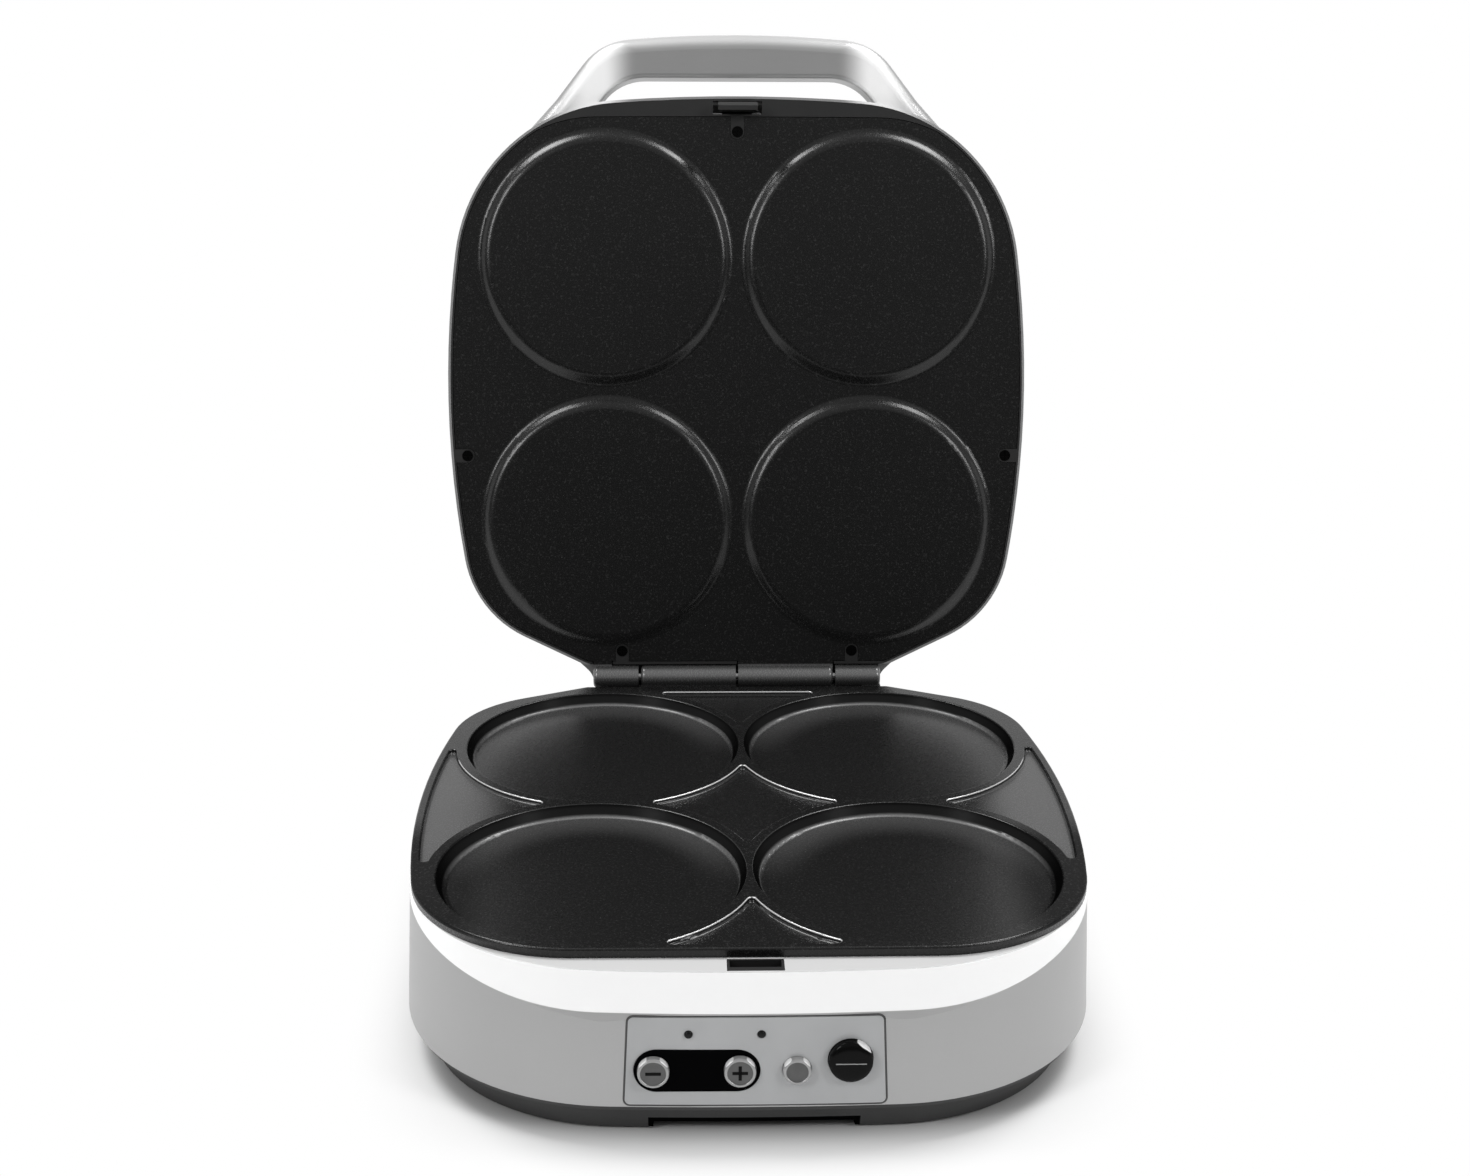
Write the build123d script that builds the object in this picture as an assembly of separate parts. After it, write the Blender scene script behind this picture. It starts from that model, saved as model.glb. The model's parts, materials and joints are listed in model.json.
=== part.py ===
from build123d import *
import os
from math import cos, radians, sin, sqrt, tan

# A countertop pancake maker with four round cavities, shown with its lid open.
# X runs to the right, Y to the back, Z up. The table is z = 0, and until the last
# step x = y = 0 is the middle of the four cavities.

# Driving sizes
pancake_diameter = 120.0
cavity_gap_x = 2.0
cavity_gap_y = 2.6
cook_height = 70.5
barrel_half = 68.2
lid_open_angle = 101.7
overrun = 4.0
fit_gap = 0.3
tiny = 0.05

# Body outline round the cavities, shared by both plates, the housing and the lid
side_margin = 13.8
side_radius = 475.0
front_margin = 3.3
plate_front_radius = 9000.0
plate_corner = 65.0
rim_reach = 10.4
rim_front_radius = 800.0
rim_corner = 80.0
wall_reach = 2.6
wall_front_radius = 1260.0
wall_corner = 82.0
rear_margin = 9.7
rear_edge_round = 16.0
rear_corner = 50.0
slant_angle = 25.6
slant_inset = 42.7
slant_drop = 11.0
neck_root_margin = 9.8
neck_waist_margin = 1.3
neck_end_inset = 1.7
neck_start_drop = 23.0
neck_root_drop = 4.2
neck_waist_reach = 3.8
neck_end_reach = 12.0
neck_waist_round = 10.0
neck_end_round = 4.0

# Cast base plate
lip = 3.7
cavity_depth = 5.0
cavity_wall_lean = 3.0
cavity_floor_round = 2.6
cavity_rim_round = 0.8
cup_wall = 1.2
ring_width = 4.5
pocket_depth = 2.0
pocket_corner = 1.6
pocket_floor_round = 1.2
pocket_edge_round = 0.5
pocket_rim = 3.4
pocket_rear_inset = 8.0
side_pocket_front_inset = 7.3
side_pocket_rear_inset = 0.3
middle_pocket_inset = 1.0
plate_edge_round = 0.8
plate_rear_inset = 1.0
plate_post_radius = 4.5
plate_post_inset = 30.8

# Hinge
hinge_reach = 4.5
hinge_rise = 3.0
barrel_radius = 5.5
outer_knuckle = 21.4
knuckle_gap = 1.2
barrel_end_round = 2.0
pin_radius = 2.0
pin_running_gap = 0.05
pin_end_cover = 2.4
pin_end_gap = 0.6
web_front = 6.0
outer_web = 8.7

# Lid plate
lid_gap = 1.2
lid_plate_thickness = 4.0
lid_front_reach = 1.0
lid_plate_inset = 2.3
lid_rear_inset = 3.2
disc_inset = 1.8
disc_height = 3.0
disc_lean = 3.6
disc_edge_round = 4.6
disc_root_round = 3.6

# Lid frame, its five tongues, the rear cover over the hinge and the screws
frame_fit = 0.12
frame_height = 6.0
frame_flange = 6.0
tongue_width = 6.2
tongue_reach = 9.6
tongue_thickness = 1.4
tongue_fit = 0.2
tongue_front_inset = 6.7
tongue_side_inset = 8.6
tongue_side_y = 30.3
tongue_barrel_inset = 13.7
tongue_rear_inset = 4.8
cover_gap = 1.0
cover_thickness = 1.8
cover_inset = 6.2
apron_thickness = 1.3
web_fit = 0.6
screw_radius = 1.5
screw_head_radius = 2.5
screw_head_height = 1.0
screw_length = 12.0
screw_fit = 0.15
screw_end_gap = 1.0
cross_slot_depth = 0.6

# Lid shell and handle
lid_rise_shares = (0.0, 0.16, 0.44, 0.70, 0.90, 1.0)
lid_lean_shares = (0.0, 0.015, 0.12, 0.32, 0.62, 1.0)
lid_height = 30.0
lid_lean = 26.0
lid_wall = 2.5
lid_lip = 1.1
neck_lean = 5.0
neck_height = 15.0
shell_boss_radius = 3.5
handle_reach = 29.0
handle_end_drop = 3.5
handle_end_inset = 71.3
handle_knee_inset = 50.8
handle_knee_drop = 30.0
handle_root_inset = 15.8
handle_root_drop = 68.0
handle_knee_round = 34.0
handle_end_round = 30.0
handle_bottom = 5.0
handle_height = 17.0
handle_edge_round = 7.0
grip_bar_width = 20.2
grip_inset = 70.8
grip_spread = 18.0
grip_round = 24.0
grip_edge_round = 2.0

# Latch
latch_inset = 7.4
recess_side_gap = 2.3
recess_front_gap = 5.2
recess_rear_gap = 0.7
hook_half = 9.0
hook_stem_half = 7.0
hook_back_gap = 0.3
hook_thickness = 2.0
hook_toe_reach = 1.7
hook_toe_low = 9.7
hook_toe_high = 6.7
hook_lead = 1.2
hook_chamfer = 0.4
hook_eye_radius = 2.4
pivot_rise = 8.6
pivot_pin_radius = 1.2
pivot_fit = 0.1
ear_thickness = 2.0
ear_radius = 2.6
coil_radius = 1.8
coil_wire = 0.3
coil_turns = 4
coil_pitch = 0.75
notch_side_gap = 1.3
notch_front_gap = 6.6
notch_rear_gap = 2.6
catch_fit = 0.2
catch_wall = 0.8
catch_drop = 0.3
catch_height = 12.0
catch_bar = 1.2
catch_bite = 0.6
catch_gap = 0.3

# Housing
wall = 3.0
wall_draft = 3.0
band_lean = 14.0
top_gain = 0.3
ledge_edge_round = 0.6
flange = 2.6
flange_inset = 9.0
cup_fit = 0.4
housing_bottom = 15.2
shelf_drop = 2.3
boss_radius = 5.5
boss_inset = 23.8
boss_front_reach = 0.7
boss_rear_reach = 16.7
boss_height = 26.0
boss_rib = 3.0
boss_rib_low = 4.0

# Bottom tray and feet
tray_flange = 2.0
tray_flange_inset = 1.2
tray_clear = 1.2
skirt_top_inset = 4.0
skirt_bottom_inset = 9.0
tray_wall = 2.5
front_arch_half = 36.8
front_arch_top = 4.2
front_arch_depth = 25.6
foot_radius = 9.0
foot_seat = 1.0
foot_inset = 46.8
foot_front_inset = 44.6
foot_rear_inset = 32.0
foot_round = 0.5
tray_screw_length = 14.0
tray_screw_head = 3.2
tray_screw_head_height = 1.4

# Control panel, in the leaning plane of the front wall
panel_top_width = 90.8
panel_bottom_width = 94.0
panel_height = 34.4
panel_rise = 18.3
panel_corner = 2.0
panel_seat = 1.6
panel_seat_margin = 1.6
panel_edge_gap = 0.7
panel_stand = 0.2
window_x = -21.0
window_rise = -3.6
window_length = 45.2
window_width = 16.4
window_fit = 0.15
window_proud = 0.15
window_flange = 0.9
window_flange_thickness = 0.8
small_button_radius = 5.75
small_button_proud = 2.6
minus_reach = 15.6
plus_reach = 15.4
extra_radius = 5.1
extra_x = 14.8
extra_rise = -3.4
start_radius = 8.0
start_proud = 3.4
start_x = 33.9
start_rise = 0.3
button_fit = 0.25
button_edge_round = 1.2
button_travel = 0.8
button_flange = 0.9
button_flange_thickness = 1.0
stem_radius = 2.0
light_radius = 1.5
light_proud = 0.9
light_fit = 0.1
light_dome_round = 0.8
light_rise = 10.7
power_light_x = -24.0
ready_light_x = 2.0
light_flange = 0.6
plunger_depth = 7.0
switch_depth = 8.0
switch_side = 6.0
plunger_radius = 1.7
board_depth = 11.5
board_thickness = 1.6
board_half = 43.2
board_half_height = 15.0
post_radius = 2.4
board_screw_radius = 1.1
board_screw_head = 2.2
board_screw_height = 1.2
board_screw_length = 7.0
board_screw_slot = 0.5
chip_side = 12.0
chip_height = 1.4
display_depth = 3.6
display_width = 15.0
display_height = 11.0

# Heaters, shields and heat sensing
tube_radius = 3.3
tube_bite = 0.5
heater_reach_x = 15.0
heater_reach_y = 12.7
heater_corner = 38.0
heater_gap_half = 16.0
heater_tail = 17.0
tail_bend = 8.0
tail_hole = 4.6
shield_sheet = 0.8
shield_floor_drop = 11.0
shield_inset = 6.0
shield_cup_gap = 1.0
shield_notch_margin = 2.0
shield_screw_length = 8.0
lid_shield_inset = 16.0
lid_shield_rise = 12.0
lid_post_radius = 4.0
lid_post_inset = 44.8
sensor_radius = 5.0
sensor_height = 8.0
fuse_x = 30.0
fuse_radius = 2.6
fuse_length = 15.0
fuse_saddle_x = 8.0
fuse_saddle_y = 6.0
fuse_saddle_thickness = 1.0
thermostat_radius = 9.0
thermostat_height = 8.0

# Power board, relay, terminals and the rear bushing
power_board_x = 110.0
power_board_y = 62.0
power_board_centre_y = 30.0
power_board_rise = 8.0
power_post_inset_x = 9.0
power_post_inset_y = 7.0
relay_x = 28.0
relay_y = 13.0
relay_z = 15.0
relay_offset_x = 30.0
terminal_x = 30.0
terminal_y = 16.0
terminal_z = 14.0
terminal_cells = 3
terminal_hole = 1.8
terminal_offset_x = 27.0
terminal_offset_y = 14.0
can_radius = 5.0
can_height = 14.0
can_place_shares = [(0.15, -0.5), (0.4, -0.5), (-0.09, 0.32)]
gland_x = 42.0
gland_height = 32.0
gland_hole = 7.0
gland_bore = 3.7
gland_collar = 9.5
gland_collar_length = 3.5
gland_lock = 8.6
gland_lock_length = 4.0
gland_round = 1.0


# Places worked out from the driving sizes
cavity_radius = pancake_diameter / 2
cavity_x = (pancake_diameter + cavity_gap_x) / 2
cavity_y = (pancake_diameter + cavity_gap_y) / 2
cavity_centres = [(sx * cavity_x, sy * cavity_y) for sx in (-1, 1) for sy in (-1, 1)]
body_half_width = cavity_x + cavity_radius + side_margin
plate_front = cavity_y + cavity_radius + front_margin
rim_front = plate_front + rim_reach
wall_front = rim_front + wall_reach
rear_edge = cavity_y + cavity_radius + rear_margin
slant_x = body_half_width - slant_inset
slant_y = rear_edge - slant_drop
neck_root_half = barrel_half + neck_root_margin
neck_waist_half = barrel_half + neck_waist_margin
neck_end_half = barrel_half - neck_end_inset
neck_start_y = rear_edge - neck_start_drop
neck_root_y = rear_edge - neck_root_drop
neck_waist_y = rear_edge + neck_waist_reach
neck_end_y = rear_edge + neck_end_reach
pocket_rear = rear_edge - pocket_rear_inset
side_pocket_front = cavity_y - side_pocket_front_inset
side_pocket_rear = cavity_y - side_pocket_rear_inset
middle_pocket_half = cavity_x - middle_pocket_inset
plate_rear = rear_edge - plate_rear_inset
plate_post_x = body_half_width - plate_post_inset
hinge_y = rear_edge + hinge_reach
lid_plate_front = plate_front + lid_front_reach
lid_plate_rear = rear_edge - lid_rear_inset
disc_radius = cavity_radius - disc_inset
tongue_front_y = lid_plate_front - tongue_front_inset
tongue_side_x = body_half_width - tongue_side_inset
tongue_rear_x = barrel_half - tongue_barrel_inset
tongue_rear_y = lid_plate_rear - tongue_rear_inset
cover_half = barrel_half - cover_inset
handle_front = rim_front + handle_reach
handle_end_y = handle_front - handle_end_drop
handle_end_half = body_half_width - handle_end_inset
handle_knee_half = body_half_width - handle_knee_inset
handle_knee_y = handle_front - handle_knee_drop
handle_root_half = body_half_width - handle_root_inset
handle_root_y = handle_front - handle_root_drop
grip_front = handle_front - grip_bar_width
grip_half = body_half_width - grip_inset
grip_root_half = grip_half + grip_spread
pivot_y = rim_front - latch_inset
recess_half = hook_half + recess_side_gap
recess_front = pivot_y + recess_front_gap
recess_rear = pivot_y - recess_rear_gap
hook_back = pivot_y + hook_back_gap
hook_stem_front = hook_back + hook_thickness
hook_toe_front = hook_stem_front + hook_toe_reach
notch_half = hook_half + notch_side_gap
notch_front = pivot_y + notch_front_gap
notch_rear = pivot_y - notch_rear_gap
boss_x = body_half_width - boss_inset
boss_front_y = cavity_y + boss_front_reach
boss_rear_y = cavity_y + boss_rear_reach
front_arch_rear = wall_front - front_arch_depth
foot_x = body_half_width - foot_inset
foot_front_y = wall_front - foot_front_inset
foot_rear_y = rear_edge - foot_rear_inset
minus_x = window_x - minus_reach
plus_x = window_x + plus_reach
post_x = board_half - post_radius
post_rise = board_half_height - post_radius
heater_half_x = cavity_x + heater_reach_x
heater_half_y = cavity_y + heater_reach_y
lid_post_x = body_half_width - lid_post_inset
power_post_x = power_board_x / 2 - power_post_inset_x
power_post_y = power_board_y / 2 - power_post_inset_y
ledge_z = cook_height - lip
apron_y = lid_plate_rear + fit_gap
apron_back = apron_y + apron_thickness
panel_centre_z = housing_bottom + panel_rise
hinge_z = cook_height + hinge_rise
lid_face_z = cook_height + lid_gap
lid_back_z = lid_face_z + lid_plate_thickness
cup_bottom_z = ledge_z - cavity_depth
cover_z = hinge_z + barrel_radius + cover_gap
shelf_z = ledge_z - shelf_drop
flange_under_z = ledge_z - flange
pivot_z = lid_face_z + pivot_rise
shield_floor_z = cup_bottom_z - shield_floor_drop
lid_shield_z = lid_back_z + lid_shield_rise
tray_top_z = housing_bottom
tray_low_z = tray_clear
tray_floor_z = tray_clear + tray_wall
wall_drop = ledge_z - housing_bottom
bottom_gain = top_gain + wall_drop * tan(radians(wall_draft))
neck_gain = (shelf_z - housing_bottom) * tan(radians(wall_draft))
band_gain = wall_drop * tan(radians(band_lean))

plate_curve = (plate_front, plate_front_radius, plate_corner)
lid_plate_curve = (lid_plate_front + lid_plate_inset, plate_front_radius, plate_corner)
rim_curve = (rim_front, rim_front_radius, rim_corner)
wall_curve = (wall_front, wall_front_radius, wall_corner)


# Outlines and small shared shapes
def near(shape, points):
    """The shape's vertices that lie closest to the given points."""
    corners = shape.vertices()
    return [min(corners, key=lambda v: (v.X - x) ** 2 + (v.Y - y) ** 2) for x, y in points]


def both_sides(x, y):
    return [(x, y), (-x, y)]


def mirrored(points):
    """The points of a right half, followed by their mirror images back to the start."""
    return points + [(-x, y) for x, y in reversed(points)]


def body_outline(curve, grow=0.0):
    """The body from above: bowed front and sides, round corners, slanted rear shoulders."""
    front, front_radius, corner = (size + grow for size in curve)
    side = side_radius + grow
    side_x = body_half_width - side_radius
    front_y = front_radius - front
    # The front arc and the side arc cross at the virtual front corner
    apart = sqrt(side_x**2 + front_y**2)
    along = (apart**2 + front_radius**2 - side**2) / (2 * apart)
    off = sqrt(front_radius**2 - along**2)
    corner_x = (along * side_x + off * front_y) / apart
    corner_y = front_y + (off * side_x - along * front_y) / apart
    # The slanted rear shoulder crosses the side arc at the virtual rear corner
    nx, ny = sin(radians(slant_angle)), cos(radians(slant_angle))
    reach = (slant_x - side_x) * nx + slant_y * ny + grow
    back = sqrt(side**2 - reach**2)
    shoulder_x = side_x + reach * nx + back * ny
    shoulder_y = reach * ny - back * nx
    # The shoulder ends at the straight rear edge
    rear_y = rear_edge + grow
    rear_x = slant_x + (grow - (rear_y - slant_y) * ny) / nx
    lines = [
        ThreePointArc((-corner_x, corner_y), (0, -front), (corner_x, corner_y)),
        ThreePointArc((corner_x, corner_y), (body_half_width + grow, 0), (shoulder_x, shoulder_y)),
        Line((shoulder_x, shoulder_y), (rear_x, rear_y)),
        Line((rear_x, rear_y), (-rear_x, rear_y)),
        Line((-rear_x, rear_y), (-shoulder_x, shoulder_y)),
        ThreePointArc((-shoulder_x, shoulder_y), (-body_half_width - grow, 0), (-corner_x, corner_y)),
    ]
    face = make_face(Wire(lines).edges())
    face = fillet(near(face, both_sides(corner_x, corner_y)), corner)
    face = fillet(near(face, both_sides(shoulder_x, shoulder_y)), rear_corner + grow)
    return fillet(near(face, both_sides(rear_x, rear_y)), rear_edge_round)


def neck_outline(grow=0.0):
    """The waisted tongue behind the body that covers or carries the hinge."""
    half = [
        (neck_root_half + grow, neck_start_y),
        (neck_root_half + grow, neck_root_y + grow),
        (neck_waist_half + grow, neck_waist_y + grow),
        (neck_end_half + grow, neck_end_y + grow),
    ]
    face = make_face(Polyline(*mirrored(half), close=True).edges())
    face = fillet(near(face, both_sides(*half[2])), neck_waist_round)
    return fillet(near(face, both_sides(*half[3])), neck_end_round)


def slab(face, low, high):
    return extrude(Pos(0, 0, low) * face, amount=high - low, dir=(0, 0, 1))


def ramp(low_face, low, high_face, high):
    return loft([Pos(0, 0, low) * low_face, Pos(0, 0, high) * high_face], ruled=True)


def block(x0, x1, y0, y1, z0, z1):
    middle = Pos((x0 + x1) / 2, (y0 + y1) / 2, (z0 + z1) / 2)
    return middle * Box(x1 - x0, y1 - y0, z1 - z0)


def post(x, y, low, high, radius):
    return Pos(x, y, (low + high) / 2) * Cylinder(radius, high - low)


def rod(x0, x1, y, z, radius):
    return Pos((x0 + x1) / 2, y, z) * Rot(0, 90, 0) * Cylinder(radius, x1 - x0)


def screw(length, radius, head_radius, head_height, slot_depth):
    """A cross-headed screw with its head's top at z = 0 and its shank along -Z."""
    head = post(0, 0, -head_height, 0, head_radius)
    shank = post(0, 0, -length, -head_height, radius)
    slot = Box(3 * radius, radius / 2, 2 * slot_depth)
    return head + shank - slot - Rot(0, 0, 90) * slot


def heater_loop(z, tail):
    """A rod heater bent into a rounded square, with its two ends turned to z + tail."""
    half = [
        (heater_gap_half, heater_half_y, z + tail),
        (heater_gap_half, heater_half_y, z),
        (heater_half_x, heater_half_y, z),
        (heater_half_x, -heater_half_y, z),
    ]
    points = half + [(-x, y, height) for x, y, height in reversed(half)]
    bends = [tail_bend] + 4 * [heater_corner] + [tail_bend]
    path = FilletPolyline(*points, radius=bends)
    return sweep(Plane(origin=path @ 0, z_dir=path % 0) * Circle(tube_radius), path=path)


def opened(shape):
    """A lid piece turned from its closed place to its open one about the hinge pin."""
    turned = Rot(-lid_open_angle, 0, 0) * Pos(0, -hinge_y, -hinge_z) * shape
    return Pos(0, hinge_y, hinge_z) * turned


# Hinge barrel: four knuckles, lid and base by turns from the left
inner_end = barrel_half - outer_knuckle - knuckle_gap
lid_spans = [(-barrel_half, -barrel_half + outer_knuckle), (knuckle_gap / 2, inner_end)]
base_spans = [(-high, -low) for low, high in lid_spans]


def web_span(span):
    """An inner knuckle's web is as long as the knuckle, an outer one's keeps to its outer end."""
    x0, x1 = span
    if x0 == -barrel_half:
        return x0, x0 + outer_web
    if x1 == barrel_half:
        return x1 - outer_web, x1
    return span


def knuckle(span, bore, low, high):
    """A knuckle with the web that joins it to its plate between the heights low and high."""
    x0, x1 = span
    web_x0, web_x1 = web_span(span)
    barrel = rod(x0, x1, hinge_y, hinge_z, barrel_radius)
    rims = barrel.edges().filter_by(GeomType.CIRCLE)
    barrel = fillet(max(rims, key=lambda rim: abs(rim.center().X)), barrel_end_round)
    web = block(web_x0, web_x1, hinge_y - barrel_radius - web_front, hinge_y, low, high)
    hollow = rod(pin_end_cover - barrel_half, barrel_half + overrun, hinge_y, hinge_z, bore)
    return barrel + web - hollow


def make_hinge_pin():
    left_end = pin_end_cover - barrel_half
    return rod(left_end, barrel_half - pin_end_gap, hinge_y, hinge_z, pin_radius)


# Cast base plate with four cavities and the overflow pockets between them
def cavity_cutter():
    bowl = Cone(cavity_radius - cavity_wall_lean, cavity_radius, cavity_depth)
    floor_edge = bowl.edges().filter_by(GeomType.CIRCLE).sort_by(Axis.Z)[0]
    bowl = fillet(floor_edge, cavity_floor_round)
    mouth = post(0, 0, cavity_depth / 2, overrun, cavity_radius)
    return Pos(0, 0, cook_height - cavity_depth / 2) * (bowl + mouth)


def soft_corners(face):
    """The face with its outward corners rounded, by shrinking it and growing it back."""
    return offset(offset(face, -pocket_corner), pocket_corner)


def pocket_faces():
    """The overflow pockets: what lies inside the rim and outside the four rings."""
    side_span = side_pocket_front + side_pocket_rear
    side_zone = Rectangle(3 * body_half_width, side_span)
    middle_zone = Rectangle(2 * middle_pocket_half, plate_front + pocket_rear)
    zones = Pos(0, (side_pocket_rear - side_pocket_front) / 2) * side_zone
    zones += Pos(0, (pocket_rear - plate_front) / 2) * middle_zone
    field = body_outline(plate_curve, -pocket_rim) & zones
    for x, y in cavity_centres:
        field -= Pos(x, y) * Circle(cavity_radius + ring_width)
    return [soft_corners(face) for face in field.faces()]


def pocket_cutter(face):
    cutter = slab(face, cook_height - pocket_depth, cook_height + overrun)
    return fillet(cutter.faces().sort_by(Axis.Z)[0].edges(), pocket_floor_round)


def base_heater_z():
    return cup_bottom_z - tube_radius + tube_bite


def make_base_plate():
    rear_cut = block(-body_half_width, body_half_width, plate_rear, neck_end_y, 0, 2 * cook_height)
    plate = slab(body_outline(plate_curve), ledge_z, cook_height) - rear_cut
    plate = fillet(plate.faces().sort_by(Axis.Z)[-1].edges(), plate_edge_round)
    for face in pocket_faces():
        plate -= pocket_cutter(face)
    top = plate.faces().sort_by(Axis.Z)[-1]
    plate = fillet([edge for wire in top.inner_wires() for edge in wire.edges()], pocket_edge_round)
    for x, y in cavity_centres:
        cup = Cone(cavity_radius, cavity_radius + cup_wall, cavity_depth)
        plate += Pos(x, y, (ledge_z + cup_bottom_z) / 2) * cup
    for side in (-1, 1):
        plate += post(side * plate_post_x, 0, shield_floor_z, ledge_z, plate_post_radius)
        plate -= post(side * plate_post_x, 0, shield_floor_z, ledge_z - lip, screw_radius)
    for x, y in cavity_centres:
        plate -= Pos(x, y) * cavity_cutter()
    rims = [
        edge
        for edge in plate.edges().filter_by(GeomType.CIRCLE)
        if abs(edge.radius - cavity_radius) < tiny and abs(edge.center().Z - cook_height) < tiny
    ]
    plate = fillet(rims, cavity_rim_round)
    for span in base_spans:
        plate += knuckle(span, pin_radius, ledge_z, cook_height)
    return plate - heater_loop(base_heater_z(), -heater_tail)


# Lid plate: a flat casting with four raised discs
def tongue_places():
    """Each tongue's screw centre and the direction in which it points inward."""
    return [
        (0.0, -tongue_front_y, 90.0),
        (-tongue_side_x, tongue_side_y, 0.0),
        (tongue_side_x, tongue_side_y, 180.0),
        (-tongue_rear_x, tongue_rear_y, 270.0),
        (tongue_rear_x, tongue_rear_y, 270.0),
    ]


def frame_face():
    """The lid frame's outer outline, cut straight where its apron passes the hinge."""
    rear_cut = Pos(0, apron_back + rear_edge / 2) * Rectangle(3 * rear_edge, rear_edge)
    return body_outline(rim_curve, -lid_lip - frame_fit) - rear_cut


def tongues(gap, low, high):
    """The five tongues, with rounded ends, grown by gap."""
    half = tongue_width / 2 + gap
    strip = Pos(-tongue_reach / 2, 0) * Rectangle(tongue_reach, 2 * half) + Circle(half)
    bounds = frame_face()
    return [slab(Pos(x, y) * Rot(0, 0, turn) * strip & bounds, low, high) for x, y, turn in tongue_places()]


def lid_plate_face(grow=0.0):
    face = body_outline(lid_plate_curve, grow - lid_plate_inset)
    face = face & body_outline(rim_curve, grow - lid_plate_inset)
    rear_cut = Pos(0, lid_plate_rear + grow + rear_edge / 2) * Rectangle(3 * rear_edge, rear_edge)
    return face - rear_cut


def lid_heater_z():
    return lid_back_z + tube_radius - tube_bite


def make_lid_plate():
    plate = slab(lid_plate_face(), lid_face_z, lid_back_z)
    for x, y in cavity_centres:
        disc = Cone(disc_radius - disc_lean, disc_radius, disc_height)
        disc = fillet(disc.edges().filter_by(GeomType.CIRCLE).sort_by(Axis.Z)[0], disc_edge_round)
        plate += Pos(x, y, lid_face_z - disc_height / 2) * disc
    roots = [
        edge
        for edge in plate.edges().filter_by(GeomType.CIRCLE)
        if abs(edge.radius - disc_radius) < tiny and abs(edge.center().Z - lid_face_z) < tiny
    ]
    plate = fillet(roots, disc_root_round)
    for seat in tongues(tongue_fit, lid_face_z - overrun, lid_face_z + tongue_thickness):
        plate -= seat
    for x, y, _ in tongue_places():
        plate -= post(x, y, lid_face_z, lid_back_z + overrun, screw_radius + screw_fit)
    for side in (-1, 1):
        plate += post(side * lid_post_x, 0, lid_back_z, lid_shield_z, lid_post_radius)
        plate -= post(side * lid_post_x, 0, lid_back_z, lid_shield_z, screw_radius)
    for span in lid_spans:
        plate += knuckle(span, pin_radius + pin_running_gap, lid_face_z, lid_back_z)
    return plate - heater_loop(lid_heater_z(), heater_tail)


# Lid frame: the dark moulded ring between the plate and the shell
def make_lid_frame():
    ring_top = lid_face_z + frame_height
    cover_top = cover_z + cover_thickness
    ring = slab(frame_face(), lid_face_z, ring_top)
    ring -= slab(lid_plate_face(fit_gap), 0, lid_back_z)
    ring -= slab(lid_plate_face(-frame_flange), 0, cover_top)
    frame = ring + block(-cover_half, cover_half, apron_y, apron_back, lid_face_z, cover_top)
    cover = hood(lid_wall + frame_fit, lid_wall)
    frame += cover & block(-body_half_width, body_half_width, apron_y, neck_end_y, cover_z, cover_top)
    for x0, x1 in map(web_span, lid_spans):
        frame -= block(x0 - web_fit, x1 + web_fit, 0, neck_end_y, 0, lid_back_z + fit_gap)
    for tongue in tongues(0.0, lid_face_z, lid_face_z + tongue_thickness):
        frame += tongue
    frame -= block(-recess_half, recess_half, -recess_front, -recess_rear, 0, 2 * ring_top)
    for side in (-1, 1):
        x0, x1 = sorted((side * recess_half, side * (recess_half + ear_thickness)))
        frame += rod(x0, x1, -pivot_y, pivot_z, ear_radius)
        frame += block(x0, x1, -pivot_y - ear_radius, -pivot_y + ear_radius, lid_back_z, pivot_z)
    pin_reach = recess_half + ear_thickness
    frame -= rod(-pin_reach, pin_reach, -pivot_y, pivot_z, pivot_pin_radius)
    for x, y, _ in tongue_places():
        frame -= post(x, y, 0, cover_top, screw_radius + screw_fit)
        frame -= post(x, y, 0, lid_face_z + screw_head_height, screw_head_radius + screw_fit)
    return frame


def make_lid_screws():
    upright = screw(screw_length, screw_radius, screw_head_radius, screw_head_height, cross_slot_depth)
    flipped = Rot(180, 0, 0) * upright
    return Compound(children=[Pos(x, y, lid_face_z) * flipped for x, y, _ in tongue_places()])


# Lid shell: a pillow-shaped cover with a hood over the hinge and the handle
def pillow(inset, drop):
    sections = []
    for rise_share, lean_share in zip(lid_rise_shares, lid_lean_shares):
        face = body_outline(rim_curve, -inset - lean_share * lid_lean)
        sections.append(Pos(0, 0, lid_face_z + rise_share * (lid_height - drop)) * face)
    return loft(sections)


def hood(inset, drop):
    top = neck_outline(-inset - neck_lean)
    return ramp(neck_outline(-inset), cover_z, top, cover_z + neck_height - drop)


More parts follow.
